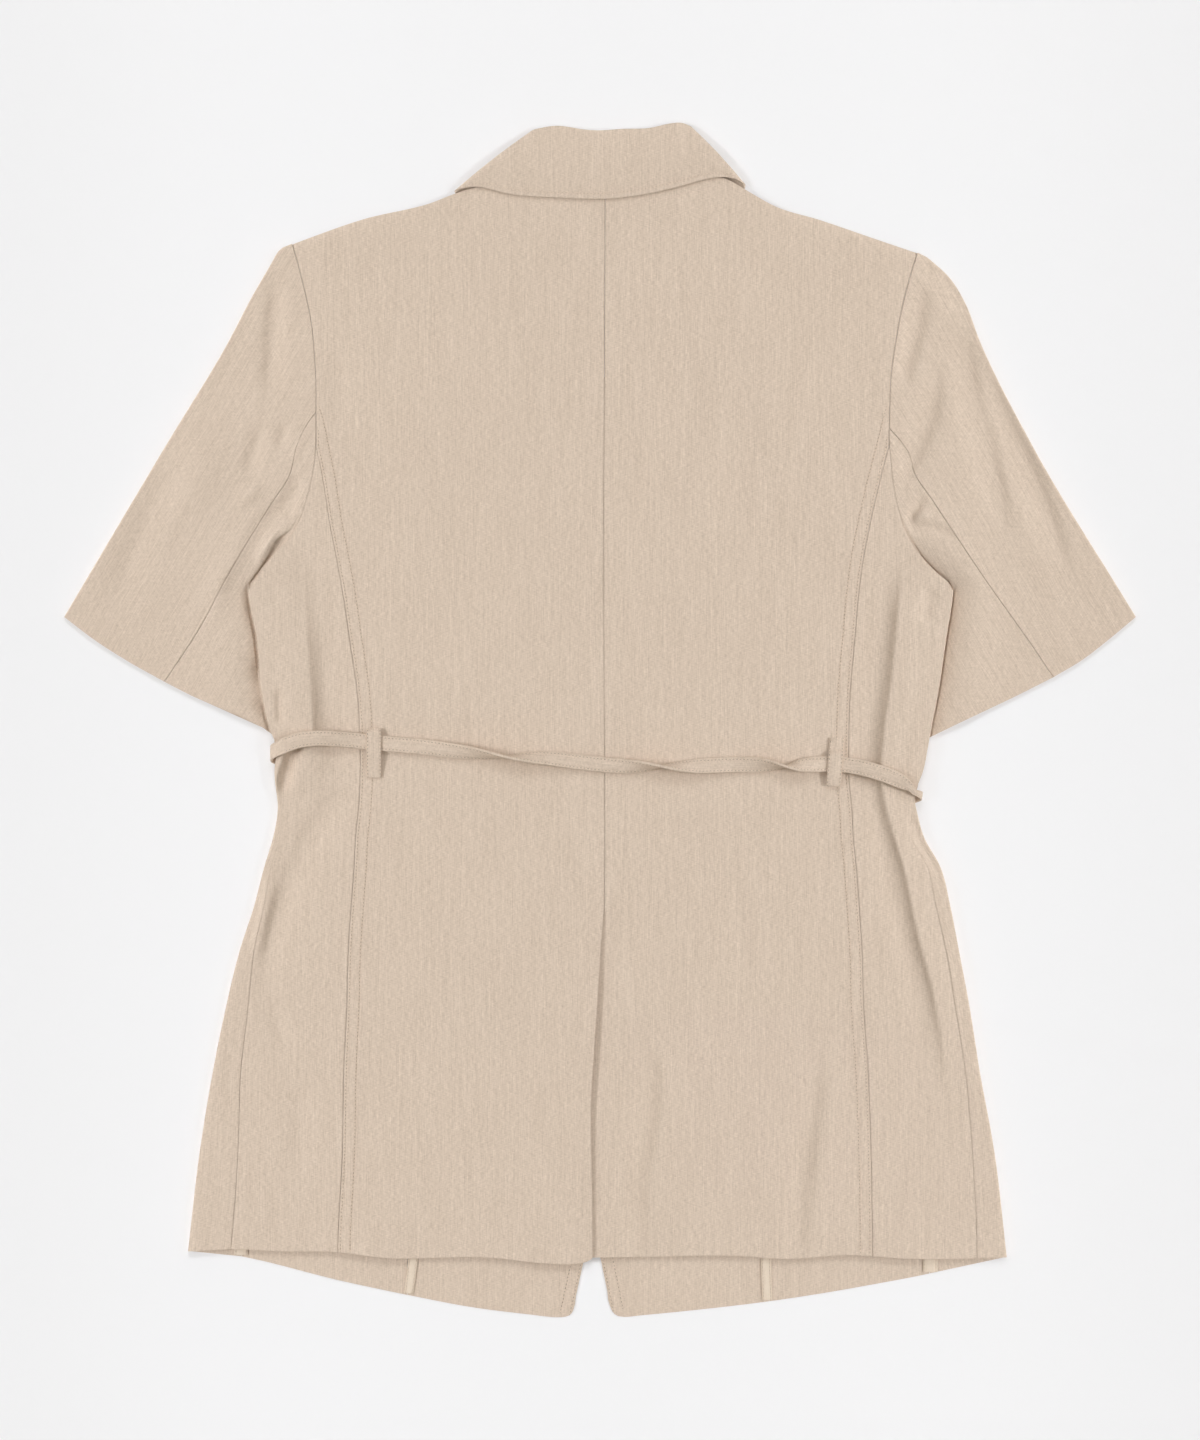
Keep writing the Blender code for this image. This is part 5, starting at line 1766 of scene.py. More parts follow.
@dataclass
class BackBody:
    """The back: two halves with a centre seam and vent, and a side panel beyond each princess seam."""

    room: Workroom
    row_step: float = 2.5
    column_step: float = 2.6
    side_step: float = 1.5
    half_columns: int = 120
    side_columns: int = 60
    row_points: int = 8
    stitched_from: float = TOP_LEVEL + 6
    stitched_fade: float = 12.0
    stitch_lift: float = SHOWN_CLOTH / 2 + 0.12

    def princess(self, side: Side) -> Array:
        """The princess seam from the armhole to the hem."""
        return seam_down(f"{side.value}_princess", BACK_HEM[side], self.row_step)

    def half_height(self, side: Side) -> HeightAt:
        """The height of one half of the back."""
        return self.room.drape.back if side is Side.LEFT else self.room.drape.right_back

    def half(self, side: Side) -> None:
        """Builds one half of the centre back.

        Args:
            side: The half's side.
        """
        sign = side.inward
        seam = self.princess(side)
        upper = armhole(side, np.linspace(0, PRINCESS_STATION, int(ARMHOLE_RUN / self.row_step)))[:-1]
        fractions = shares(np.vstack([upper, seam[:1]]))[:-1]
        levels = NECK_CENTRE[1] + (TOP_LEVEL - NECK_CENTRE[1]) * fractions
        hem_x = vent_x(np.array([BACK_HEM_LEVEL]))[0]
        if side is Side.RIGHT:
            hem_x -= UNDERLAY_WIDTH
        foot = hem_point(BACK_HEM[side], hem_x)
        centre = centre_line(np.concatenate([levels, np.linspace(TOP_LEVEL, foot[1], len(seam))]))
        if side is Side.RIGHT:
            below = VENT_TOP - VENT_DIVE - centre[:, 1]
            centre[:, 0] -= UNDERLAY_WIDTH * np.clip(below / UNDERLAY_SLOPE, 0, 1)
        outer = shifted(np.vstack([upper, seam]), sign * SEAM_GAP / 2)
        centre = shifted(centre, -sign * CENTRE_GAP / 2)
        neck = smooth([SHOULDERS[side][-1], NECKLINE_DIP[side], NECK_CENTRE], CORNER_STEPS)
        top = np.vstack([smooth(SHOULDERS[side]), neck[1:]])
        bottom = hem_between(BACK_HEM[side], outer[-1], centre[-1])
        outer[0], centre[0] = top[0], top[-1]
        plan = patch(top, bottom, outer, centre, self.half_columns)
        spaced = respaced(plan, STITCHED_COLUMNS, SEAM_COLUMNS, self.column_step)
        edges = self.inner_edge(spaced, side) + self.outer_edge(spaced)
        node = f"back_{side.value}"
        piece = self.room.flat_panel(node, spaced.plan, self.half_height(side)(spaced.plan) + edges)
        stitches = self.room.stitch(f"{node}_topstitching", node, self.stitch_lines(side))

    @staticmethod
    def inner_edge(spaced: Spaced, side: Side) -> Array:
        """The rise along the centre seam and, on the left half, along the vent's lifted edge below it.

        Args:
            spaced: The half's grid.
            side: The half's side.

        Returns:
            A rise for each point.
        """
        levels = spaced.plan[..., 1]
        above_vent = ease((levels - VENT_TOP + VENT_BLEND) / (2 * VENT_BLEND))
        edge = above_vent * plain_seam(spaced.from_end)
        if side is Side.RIGHT:
            return edge
        lifts = np.array(VENT_LIFTS)[::-1]
        lift = hermite(lifts[:, 0], lifts[:, 1], levels.ravel()).reshape(levels.shape)
        lifted = cut_edge(spaced.from_end) + lift * bell(spaced.from_end, VENT_LIFT_REACH)
        return edge + (1 - above_vent) * lifted

    def outer_edge(self, spaced: Spaced) -> Array:
        """The rise along the outside: a plain armhole seam, and the stitched princess seam below it."""
        stitched = ease((self.stitched_from - spaced.plan[..., 1]) / self.stitched_fade)
        return stitched * topstitched_seam(spaced.from_start) + (1 - stitched) * plain_seam(spaced.from_start)

    def stitch_lines(self, side: Side) -> list[Row]:
        """The two rows beside a princess seam.

        Args:
            side: The half's side.

        Returns:
            For each row, its line and the outward direction at each point.
        """
        seam = self.princess(side)
        inner = np.vstack([smooth(ROW_TOPS[side]), shifted(seam, side.inward * SECOND_ROW)])
        scye = armhole(side, np.linspace(PRINCESS_STATION - ROW_START, PRINCESS_STATION, self.row_points))
        lines = [shifted(np.vstack([scye, seam[1:]]), side.inward * FIRST_ROW), inner]
        return [on_cloth(line, self.half_height(side), self.stitch_lift) for line in lines]

    def side(self, side: Side) -> None:
        """Builds the panel between the princess seam and the side seam.

        Args:
            side: The panel's side.
        """
        sign = side.inward
        princess = shifted(self.princess(side), -sign * SEAM_GAP / 2)
        levels = np.linspace(TOP_LEVEL, seam_foot(f"{side.value}_side", BACK_HEM[side])[1], len(princess))
        outer = at_levels(f"{side.value}_side", paired_levels(levels))
        outer = shifted(outer, sign * SEAM_GAP / 2 * side_seam_share(outer[:, 1]))
        top = scye_line(side, ARMHOLE_POINTS)
        outer[0], princess[0] = top[0], top[-1]
        bottom = hem_between(BACK_HEM[side], outer[-1], princess[-1])
        plan = patch(top, bottom, outer, princess, self.side_columns)
        spaced = respaced(plan, SEAM_COLUMNS, SEAM_COLUMNS, self.side_step)
        top_dip = plain_seam(nearest(spaced.plan, top)[0])
        side_dip = plain_seam(spaced.from_start) * side_seam_share(spaced.plan[..., 1])
        heights = self.room.drape.back(spaced.plan) + side_dip + plain_seam(spaced.from_end) + top_dip
        node = f"back_side_{side.value}"
        piece = self.room.flat_panel(node, spaced.plan, heights)

    def build(self) -> None:
        """Builds the whole back."""
        for side in Side:
            self.half(side)
            self.side(side)


def scye_line(side: Side, count: int) -> Array:
    """The top of a side panel, along the armhole from the underarm to the princess seam."""
    scye = armhole(side, np.linspace(PRINCESS_STATION + CORNER_STATION, UNDERARM_STATION, count))
    return shifted(scye, side.inward * SEAM_GAP / 2)[::-1]


def side_seam_share(levels: Array) -> Array:
    """How far the side seam shows: it lies flat above the hip."""
    return ease((SIDE_SEAM_FLAT - levels) / SIDE_SEAM_RISE)


def paired_levels(levels: Array) -> Array:
    """Levels on a side seam that pair with those of the princess seam."""
    shrink = (ARMHOLE[-1].left_y - WAIST_LEVEL) / (TOP_LEVEL - WAIST_LEVEL)
    return np.where(levels > WAIST_LEVEL, WAIST_LEVEL + (levels - WAIST_LEVEL) * shrink, levels)


def wrapped(top: Array, bottom: Array, outward: Array, steps: int) -> Array:
    """A sheet that runs over its upper points, round a fold and back along its lower ones.

    Args:
        top: Upper points, ending at the fold.
        bottom: Lower points, ending at the fold.
        outward: The direction out of the fold for each row.
        steps: Steps round the fold.

    Returns:
        The whole grid.
    """
    centre = (top[:, -1] + bottom[:, -1]) / 2
    radius = (top[:, -1, 2] - bottom[:, -1, 2]) / 2
    bulge = np.minimum(radius, FOLD_BULGE)
    turn = []
    for angle in np.pi * even(steps)[1:-1]:
        plan = centre[:, :2] + outward * (bulge * np.sin(angle) ** FOLD_SHAPE)[:, None]
        turn.append(raised(plan, centre[:, 2] + radius * np.cos(angle)))
    return np.concatenate([top, np.stack(turn, axis=1), bottom[:, ::-1]], axis=1)


def outward_of(line: Array, sign: int) -> Array:
    """Unit vectors to the outside of a line."""
    return shifted(line, -sign) - line


def fold_limit(edge: Array, outward: Array, upper: HeightAt, lower: HeightAt) -> Array:
    """The points where a fold's curve starts, set in from the edge by its radius and half the cloth.

    Args:
        edge: The folded edge.
        outward: The direction out of it for each point.
        upper: Height of the upper layer.
        lower: Height of the lower layer.

    Returns:
        A point for each point of the edge.
    """
    inset = edge - outward * FOLD_INSET
    radius = (upper(inset) - lower(inset)) / 2
    return edge - outward * (np.minimum(radius, FOLD_BULGE) + SHOWN_CLOTH / 2)[:, None]


def row_grain(grid: Array, along: Array) -> Array:
    """Grain places of a wrapped sheet: length along its row, and a place along the grain for each row."""
    return np.stack([row_lengths(grid), np.repeat(along[:, None], grid.shape[1], axis=1)], axis=-1)


def thinned(count: int, step: int) -> Array:
    """Every few of a row's columns, with both ends."""
    return np.unique(np.concatenate([np.arange(0, count, step), [count - 1]]))


@dataclass
class SidePanels:
    """The narrow panels that wrap the folds at the sides of the body."""

    room: Workroom
    row_step: float = 2.5
    fold_steps: int = 10
    columns: tuple[float, ...] = (0, 0.06, 0.14, 0.25, 0.4, 0.55, 0.7, 0.85, 1.0)

    def build(self) -> None:
        """Builds both panels."""
        for side in Side:
            self.panel(side)

    def panel(self, side: Side) -> None:
        """Builds one panel.

        Args:
            side: The panel's side.
        """
        drape = self.room.drape
        sign = side.inward
        name = side.value
        back_foot = seam_foot(f"{name}_side", BACK_HEM[side])
        front_foot = seam_foot(f"{name}_front_side", FRONT_HEM[side])
        edge_foot = seam_foot(f"{name}_edge", BACK_HEM[side])
        count = int((UNDERARM_LEVEL - edge_foot[1]) / self.row_step)
        top_level = ARMHOLE[-1].left_y
        back_seam = at_levels(f"{name}_side", np.linspace(top_level, back_foot[1], count))
        back_seam = shifted(back_seam, -sign * SEAM_GAP / 2 * side_seam_share(back_seam[:, 1]))
        front_seam = at_levels(f"{name}_front_side", np.linspace(top_level, front_foot[1], count))
        front_seam = shifted(front_seam, -sign * SEAM_GAP / 2)
        edge = at_levels(f"{name}_edge", np.linspace(UNDERARM_LEVEL, edge_foot[1], count))
        outward = outward_of(edge, sign)
        limit = fold_limit(edge, outward, drape.back, drape.front)
        t = np.array(self.columns)[None, :, None]
        top = back_seam[:, None] * (1 - t) + limit[:, None] * t
        bottom = front_seam[:, None] * (1 - t[:, ::2]) + limit[:, None] * t[:, ::2]
        offset = np.linalg.norm(top - top[:, :1], axis=2)
        upper = raised(top, drape.back(top) + plain_seam(offset) * side_seam_share(top[..., 1]))
        sheet = wrapped(upper, raised(bottom, drape.front(bottom)), outward, self.fold_steps)
        node = f"side_{name}"
        grain = row_grain(sheet, edge[:, 1]) + self.room.grain_shift()
        piece = self.room.panel(node, sheet, grain)


@dataclass
class FrontBody:
    """The fronts under the back: a centre front and a side front on each side."""

    room: Workroom
    row_step: float = 5.0
    column_step: float = 5.0
    centre_columns: int = 260
    side_columns: int = 60
    scye_points: int = 40
    edge_rows: Pair = (1.9, 8.6)
    edge_row_start: int = 5
    edge_row_share: float = 0.3
    stitch_lift: float = SHOWN_CLOTH / 2 + 0.08

    def front_height(self, side: Side) -> HeightAt:
        """The height of one centre front."""
        return self.room.drape.lapped_front if side is Side.LEFT else self.room.drape.front

    def build(self) -> None:
        """Builds both fronts."""
        for side in Side:
            self.centre(side)
            self.side(side)

    def princess(self, side: Side) -> Array:
        """The front princess seam from the armhole to the hem."""
        return seam_down(f"{side.value}_front_princess", FRONT_HEM[side], self.row_step)

    def centre(self, side: Side) -> None:
        """Builds one centre front, with its neckline, straight edge and rounded hem corner.

        Args:
            side: The front's side.
        """
        sign = side.inward
        seam = self.princess(side)
        upper = armhole(side, np.linspace(0, PRINCESS_STATION, int(ARMHOLE_RUN / self.row_step)))[:-1]
        fractions = shares(np.vstack([upper, seam[:1]]))[:-1]
        route = np.array(FRONT_EDGE[side], float)
        neckline = sample(route[:NECKLINE_POINTS], fractions)
        levels = np.linspace(TOP_LEVEL, route[-1, 1], len(seam))
        straight = route[: NECKLINE_POINTS - 2 : -1]
        edge_x = np.interp(levels, straight[:, 1], straight[:, 0])
        edge = shifted(np.vstack([neckline, np.stack([edge_x, levels], axis=1)]), -sign * 2 * GAP)
        outer = shifted(np.vstack([upper, seam]), sign * SEAM_GAP / 2)
        top = smooth(SHOULDERS[side])
        hem = hem_between(FRONT_HEM[side], outer[-1], np.array(FRONT_CORNER[side][0], float))
        bottom = np.vstack([hem, smooth(FRONT_CORNER[side], CORNER_STEPS)[1:]])
        outer[0], edge[0], edge[-1] = top[0], top[-1], bottom[-1]
        plan = patch(top, bottom, outer, edge, self.centre_columns)
        spaced = respaced(plan, EDGE_COLUMNS, CORNER_COLUMNS, self.column_step)
        node = f"front_{side.value}"
        piece = self.room.flat_panel(node, spaced.plan, self.front_height(side)(spaced.plan))
        stitches = self.room.stitch(f"{node}_edge_stitching", node, self.stitch_lines(side), Sewn.STRIP)

    def stitch_lines(self, side: Side) -> list[Row]:
        """The rows beside the front edge, from above the back's hem to the front's.

        Args:
            side: The front's side.

        Returns:
            For each row, its line and the outward direction at each point.
        """
        route = np.array(FRONT_EDGE[side][self.edge_row_start :], float)
        start = route[:1] + (route[1:2] - route[:1]) * self.edge_row_share
        foot = route[-1:] + (route[-1:] - route[-2:-1]) * self.edge_row_share
        dense = smooth(np.vstack([start, route[1:], foot]), EDGE_STEPS)
        lines = [shifted(dense, -side.inward * row) for row in self.edge_rows]
        return [on_cloth(line, self.front_height(side), self.stitch_lift) for line in lines]

    def side(self, side: Side) -> None:
        """Builds the side front.

        Args:
            side: The panel's side.
        """
        sign = side.inward
        name = f"{side.value}_front_side"
        princess = shifted(self.princess(side), -sign * SEAM_GAP / 2)
        levels = np.linspace(TOP_LEVEL, seam_foot(name, FRONT_HEM[side])[1], len(princess))
        outer = shifted(at_levels(name, paired_levels(levels)), sign * SEAM_GAP / 2)
        top = scye_line(side, self.scye_points)
        outer[0], princess[0] = top[0], top[-1]
        bottom = hem_between(FRONT_HEM[side], outer[-1], princess[-1])
        plan = patch(top, bottom, outer, princess, self.side_columns)
        spaced = respaced(plan, EDGE_COLUMNS, EDGE_COLUMNS, self.column_step)
        node = f"front_side_{side.value}"
        piece = self.room.flat_panel(node, spaced.plan, self.room.drape.front(spaced.plan))
        trims = [
            self.binding(f"front_binding_{side.value}", f"{side.value}_front_princess", side),
            self.binding(f"side_binding_{side.value}", name, side),
        ]

    def binding(self, node: str, seam: str, side: Side) -> Object:
        """Builds the bound edge of a seam allowance on the inside of a front.

        Args:
            node: The binding's node.
            seam: The seam that it follows.
            side: The side that it is on.

        Returns:
            The piece.
        """
        strip = BINDINGS[node]
        foot = hem_point(FRONT_HEM[side], column(seam, np.array([FRONT_HEM_LEVEL]))[0])
        levels = np.linspace(BINDING_TOP, foot[1] + BINDING_SHORT, BINDING_POINTS)
        plan = at_levels(seam, levels)
        plan[:, 0] += strip.aside + strip.slant * np.minimum(levels - BACK_HEM_LEVEL, 0.0)
        centres = raised(plan, self.room.drape.front(plan) + CLOTH / 2 + GAP + BINDING_THICK / 2)
        across = np.tile([1.0, 0.0, 0.0], (len(plan), 1))
        piece = ribbon(f"{node}_strip", centres, across, strip.width,
                       BINDING_THICK, BINDING_CROWN, BINDING_ROW)
        self.room.dress(piece, self.room.binding, node)
        face = centres[BINDING_POINTS // 2 :] + (0, 0, BINDING_FACE)
        up = np.tile([0.0, 0.0, 1.0], (len(face), 1))
        rows = [(face + (hand * (strip.width / 2 - BINDING_ROW), 0, 0), up) for hand in (-1, 1)]
        self.room.stitch(f"{node}_stitching", node, rows, Sewn.COLLAR)
        return piece


@dataclass
class Sleeves:
    """The sleeves: an upper piece round the outer fold and an under piece round the inner one."""

    room: Workroom
    row_step: float = 2.6
    column_step: float = 2.6
    fold_steps: int = 10
    head_points: int = 70
    upper_columns: int = 56
    under_columns: int = 40
    under_step: int = 3
    rows_between: int = 10
    head_dip_spread: float = 0.8
    grain_turn: float = 0.7

    def build(self) -> None:
        """Builds both sleeves."""
        for side in Side:
            self.upper(side)
            self.under(side)

    @staticmethod
    def axis(side: Side) -> Array:
        """The direction of the grain, down a sleeve.

        Args:
            side: The sleeve's side.

        Returns:
            A unit vector.
        """
        outer = np.array(SLEEVES[side].outer, float)
        run = outer[-1] - outer[SLEEVE_HEAD_POINT]
        return run / np.linalg.norm(run)

    def sleeve_grain(self, grid: Array, side: Side) -> Array:
        """Grain places of a sleeve piece, across and along its axis.

        Args:
            grid: The piece's points.
            side: The sleeve's side.

        Returns:
            A place for each point.
        """
        along = self.axis(side)
        across = np.array([-along[1], along[0]])
        plan = grid[..., :2]
        places = np.stack([plan @ across + self.grain_turn * grid[..., 2], plan @ along], axis=-1)
        return places + self.room.grain_shift()

    def both_layers(self, spaced: Spaced, dip: Array, outward: Array, side: Side) -> Array:
        """The whole grid of a sleeve piece, from its upper layer round the fold to its lower one.

        Args:
            spaced: Plan points of the upper layer, ending at the fold.
            dip: The rise along the armhole seam.
            outward: The direction out of the fold for each row.
            side: The sleeve's side.

        Returns:
            The grid.
        """
        drape = self.room.drape
        heights = drape.sleeve(spaced.plan, side) + plain_seam(spaced.from_start) + dip
        low = spaced.plan[:, thinned(spaced.plan.shape[1], self.under_step)]
        lower = raised(low, drape.under_sleeve(low))
        return wrapped(raised(spaced.plan, heights), lower, outward, self.fold_steps)

    def upper(self, side: Side) -> None:
        """Builds an upper sleeve.

        Args:
            side: The sleeve's side.
        """
        cut = SLEEVES[side]
        sign = side.inward
        height = partial(self.room.drape.sleeve, side=side)
        head = armhole(side, np.linspace(0, SLEEVE_SEAM_STATION, self.head_points))
        head = shifted(head, -sign * SEAM_GAP / 2)[::-1]
        rows = int(lengths_along(smooth(cut.back_seam))[-1] / self.row_step)
        fractions = even(rows)
        seam = shifted(sample(smooth(cut.back_seam, SLEEVE_STEPS), fractions), -sign * SEAM_GAP / 2)
        edge = sample(smooth(cut.outer, SLEEVE_STEPS), fractions)
        outward = outward_of(edge, sign)
        limit = fold_limit(edge, outward, height, self.room.drape.under_sleeve)
        cuff = smooth(cut.cuff_outer)
        cuff = cuff + (limit[-1] - cuff[-1]) * shares(cuff)[:, None]
        seam[0], limit[0], cuff[0] = head[0], head[-1], seam[-1]
        plan = relaxed(patch(head, cuff, seam, limit, self.upper_columns))
        spaced = respaced(plan, SEAM_COLUMNS, FOLD_COLUMNS, self.column_step)
        head_dip = plain_seam(nearest(spaced.plan, head)[0] * self.head_dip_spread)
        sheet = self.both_layers(spaced, head_dip, outward, side)
        node = f"upper_sleeve_{side.value}"
        piece = self.room.panel(node, sheet, self.sleeve_grain(sheet, side))

    def under(self, side: Side) -> None:
        """Builds an under sleeve, open along the armhole and folded along its inner edge below that.

        Args:
            side: The sleeve's side.
        """
        cut = SLEEVES[side]
        sign = side.inward
        height = partial(self.room.drape.sleeve, side=side)
        point = SLEEVE_SEAM_STATION + SLEEVE_POINT_SHARE
        stations = [point, *range(SLEEVE_SEAM_STATION + 1, UNDERARM_STATION + 1)]
        coarse_open = len(stations) - 1
        coarse_rows = len(SLEEVE_ROWS) - 1
        index = np.linspace(0, coarse_rows - 1, (coarse_rows - 1) * self.rows_between + 1)
        fractions = np.interp(index, np.arange(coarse_rows), SLEEVE_ROWS[1:])
        seam = shifted(sample(smooth(cut.back_seam, SLEEVE_STEPS), fractions), sign * SEAM_GAP / 2)
        open_rows = coarse_open * self.rows_between
        scye = armhole(side, np.interp(index[: open_rows + 1], np.arange(len(stations)), stations))
        lap = UNDERLAP * ease((self.room.drape.hollow(scye, side)[0] - UNDERLAP_FROM) / UNDERLAP_EASE)
        scye = shifted(scye, sign * (lap - SEAM_GAP / 2))
        edge = sample(smooth(cut.inner, SLEEVE_STEPS), even(len(index) - 1 - open_rows))
        outward = outward_of(edge, -sign)
        limit = fold_limit(edge, outward, height, self.room.drape.under_sleeve)
        blend = ease(index[:open_rows] - coarse_open + 1.0)[:, None]
        inner = np.vstack([scye[:-1] + blend * (limit[0] - scye[-1]), limit])
        cuff = smooth(cut.cuff_inner)
        cuff = cuff + (limit[-1] - cuff[-1]) * shares(cuff)[:, None]
        cuff[0] = seam[-1]
        plan = patch(np.array([seam[0], inner[0]]), cuff, seam, inner, self.under_columns)
        spaced = respaced(plan, SEAM_COLUMNS, SLOT_COLUMNS, self.column_step)
        outward = np.vstack([np.tile(outward[0], (open_rows, 1)), outward])
        sheet = self.both_layers(spaced, plain_seam(nearest(spaced.plan, scye)[0]), outward, side)
        last = spaced.plan.shape[1] - 1
        slit = Slit(open_rows, last, last + self.fold_steps)
        node = f"under_sleeve_{side.value}"
        piece = self.room.panel(node, sheet, self.sleeve_grain(sheet, side), slit)


@dataclass
class CollarPiece:
    """The collar: fall, roll line and stand, turned round the neck to plain front ends."""

    room: Workroom
    between: int = 9
    fall_steps: int = 26
    roll_steps: int = 10
    stand_steps: int = 6
    edge_shares: tuple[float, ...] = (0, 0.012, 0.03, 0.05, 0.068, 0.085, 0.11)
    fall_from: float = 0.15
    edge_row: float = 3.6
    edge_dip: float = 0.12
    edge_dip_reach: float = 0.7
    stitched_turn: float = 20.0
    stitch_lift: float = COLLAR_WALL / 2 + 0.06

    def rows(self) -> Array:
        """The collar's stations, closely spaced.

        Returns:
            A row of numbers for each.
        """
        table = np.array(COLLAR, float)
        places = np.linspace(0, len(table) - 1, (len(table) - 1) * self.between + 1)
        return hermite(np.arange(len(table)), table, places)

    def frame_of(self, row: Array) -> tuple[Array, Array, Array, Array, float]:
        """The edge, roll and seam points of a station, its outward direction and its crown.

        Args:
            row: Values of a station.

        Returns:
            Three points, a direction and a height.
        """
        at = Station(*row)
        turn = np.radians(np.clip(at.turn, 0, 180))
        side = Side.LEFT if at.roll_x < 0 else Side.RIGHT
        out = np.array([*(np.sin(turn) * np.array(FOLD_NORMALS[side])), np.cos(turn)])
        upward = max(np.cos(turn), 0.0)
        edge = np.array([at.edge_x, at.edge_y, COLLAR_CENTRE])
        roll = np.array([at.roll_x, at.roll_y, COLLAR_CENTRE - ROLL_DROP * upward])
        seam = np.array([at.seam_x, at.seam_y, COLLAR_CENTRE])
        return edge, roll, seam, out, FALL_CROWN * upward

    def fall_point(self, row: Array, share: float) -> tuple[Array, Array]:
        """A point of the fall's middle, at a share of the way from the edge to the roll, and its outside.

        Args:
            row: Values of a station.
            share: The share.

        Returns:
            The point and its outward direction.
        """
        edge, roll, _, out, crown = self.frame_of(row)
        lift = crown * np.sin(np.pi * share)
        width = np.linalg.norm(roll - edge)
        dip = self.edge_dip * bell(share * width - self.edge_row, self.edge_dip_reach)
        return edge + (roll - edge) * share + out * (FALL_OFFSET + lift - dip), out

    def stitch_line(self) -> Row:
        """The row along the fall's edge, where the fall lies on the back.

        Returns:
            Its line and the outward direction at each point.
        """
        line, out = [], []
        for row in self.rows():
            if Station(*row).turn > self.stitched_turn:
                continue
            edge, roll, _, _, _ = self.frame_of(row)
            place, outside = self.fall_point(row, self.edge_row / np.linalg.norm(roll - edge))
            line.append(place + outside * self.stitch_lift)
            out.append(outside)
        return np.array(line), np.array(out)

    def build(self) -> None:
        """Builds the collar and its edge stitching."""
        middle = (FALL_OFFSET + STAND_OFFSET) / 2
        shares_of_fall = [*self.edge_shares, *np.linspace(self.fall_from, 1, self.fall_steps)]
        sheet = []
        for row in self.rows():
            edge, roll, seam, out, _ = self.frame_of(row)
            beyond = (roll - edge) / np.linalg.norm(roll - edge)
            points = [self.fall_point(row, share)[0] for share in shares_of_fall]
            for angle in np.pi * even(self.roll_steps)[1:]:
                height = middle + ROLL_RADIUS * np.cos(angle)
                points.append(roll + out * height + beyond * ROLL_RADIUS * np.sin(angle))
            points += [roll + (seam - roll) * t + out * STAND_OFFSET for t in even(self.stand_steps)[1:]]
            sheet.append(points)
        grid = np.array(sheet)
        piece = wall("collar_fall_and_stand", grid, grid[..., :2] + self.room.grain_shift(), COLLAR_WALL)
        self.room.dress(piece, self.room.suiting, "collar")
        stitches = self.room.stitch("collar_edge_stitching", "collar", [self.stitch_line()], Sewn.COLLAR)


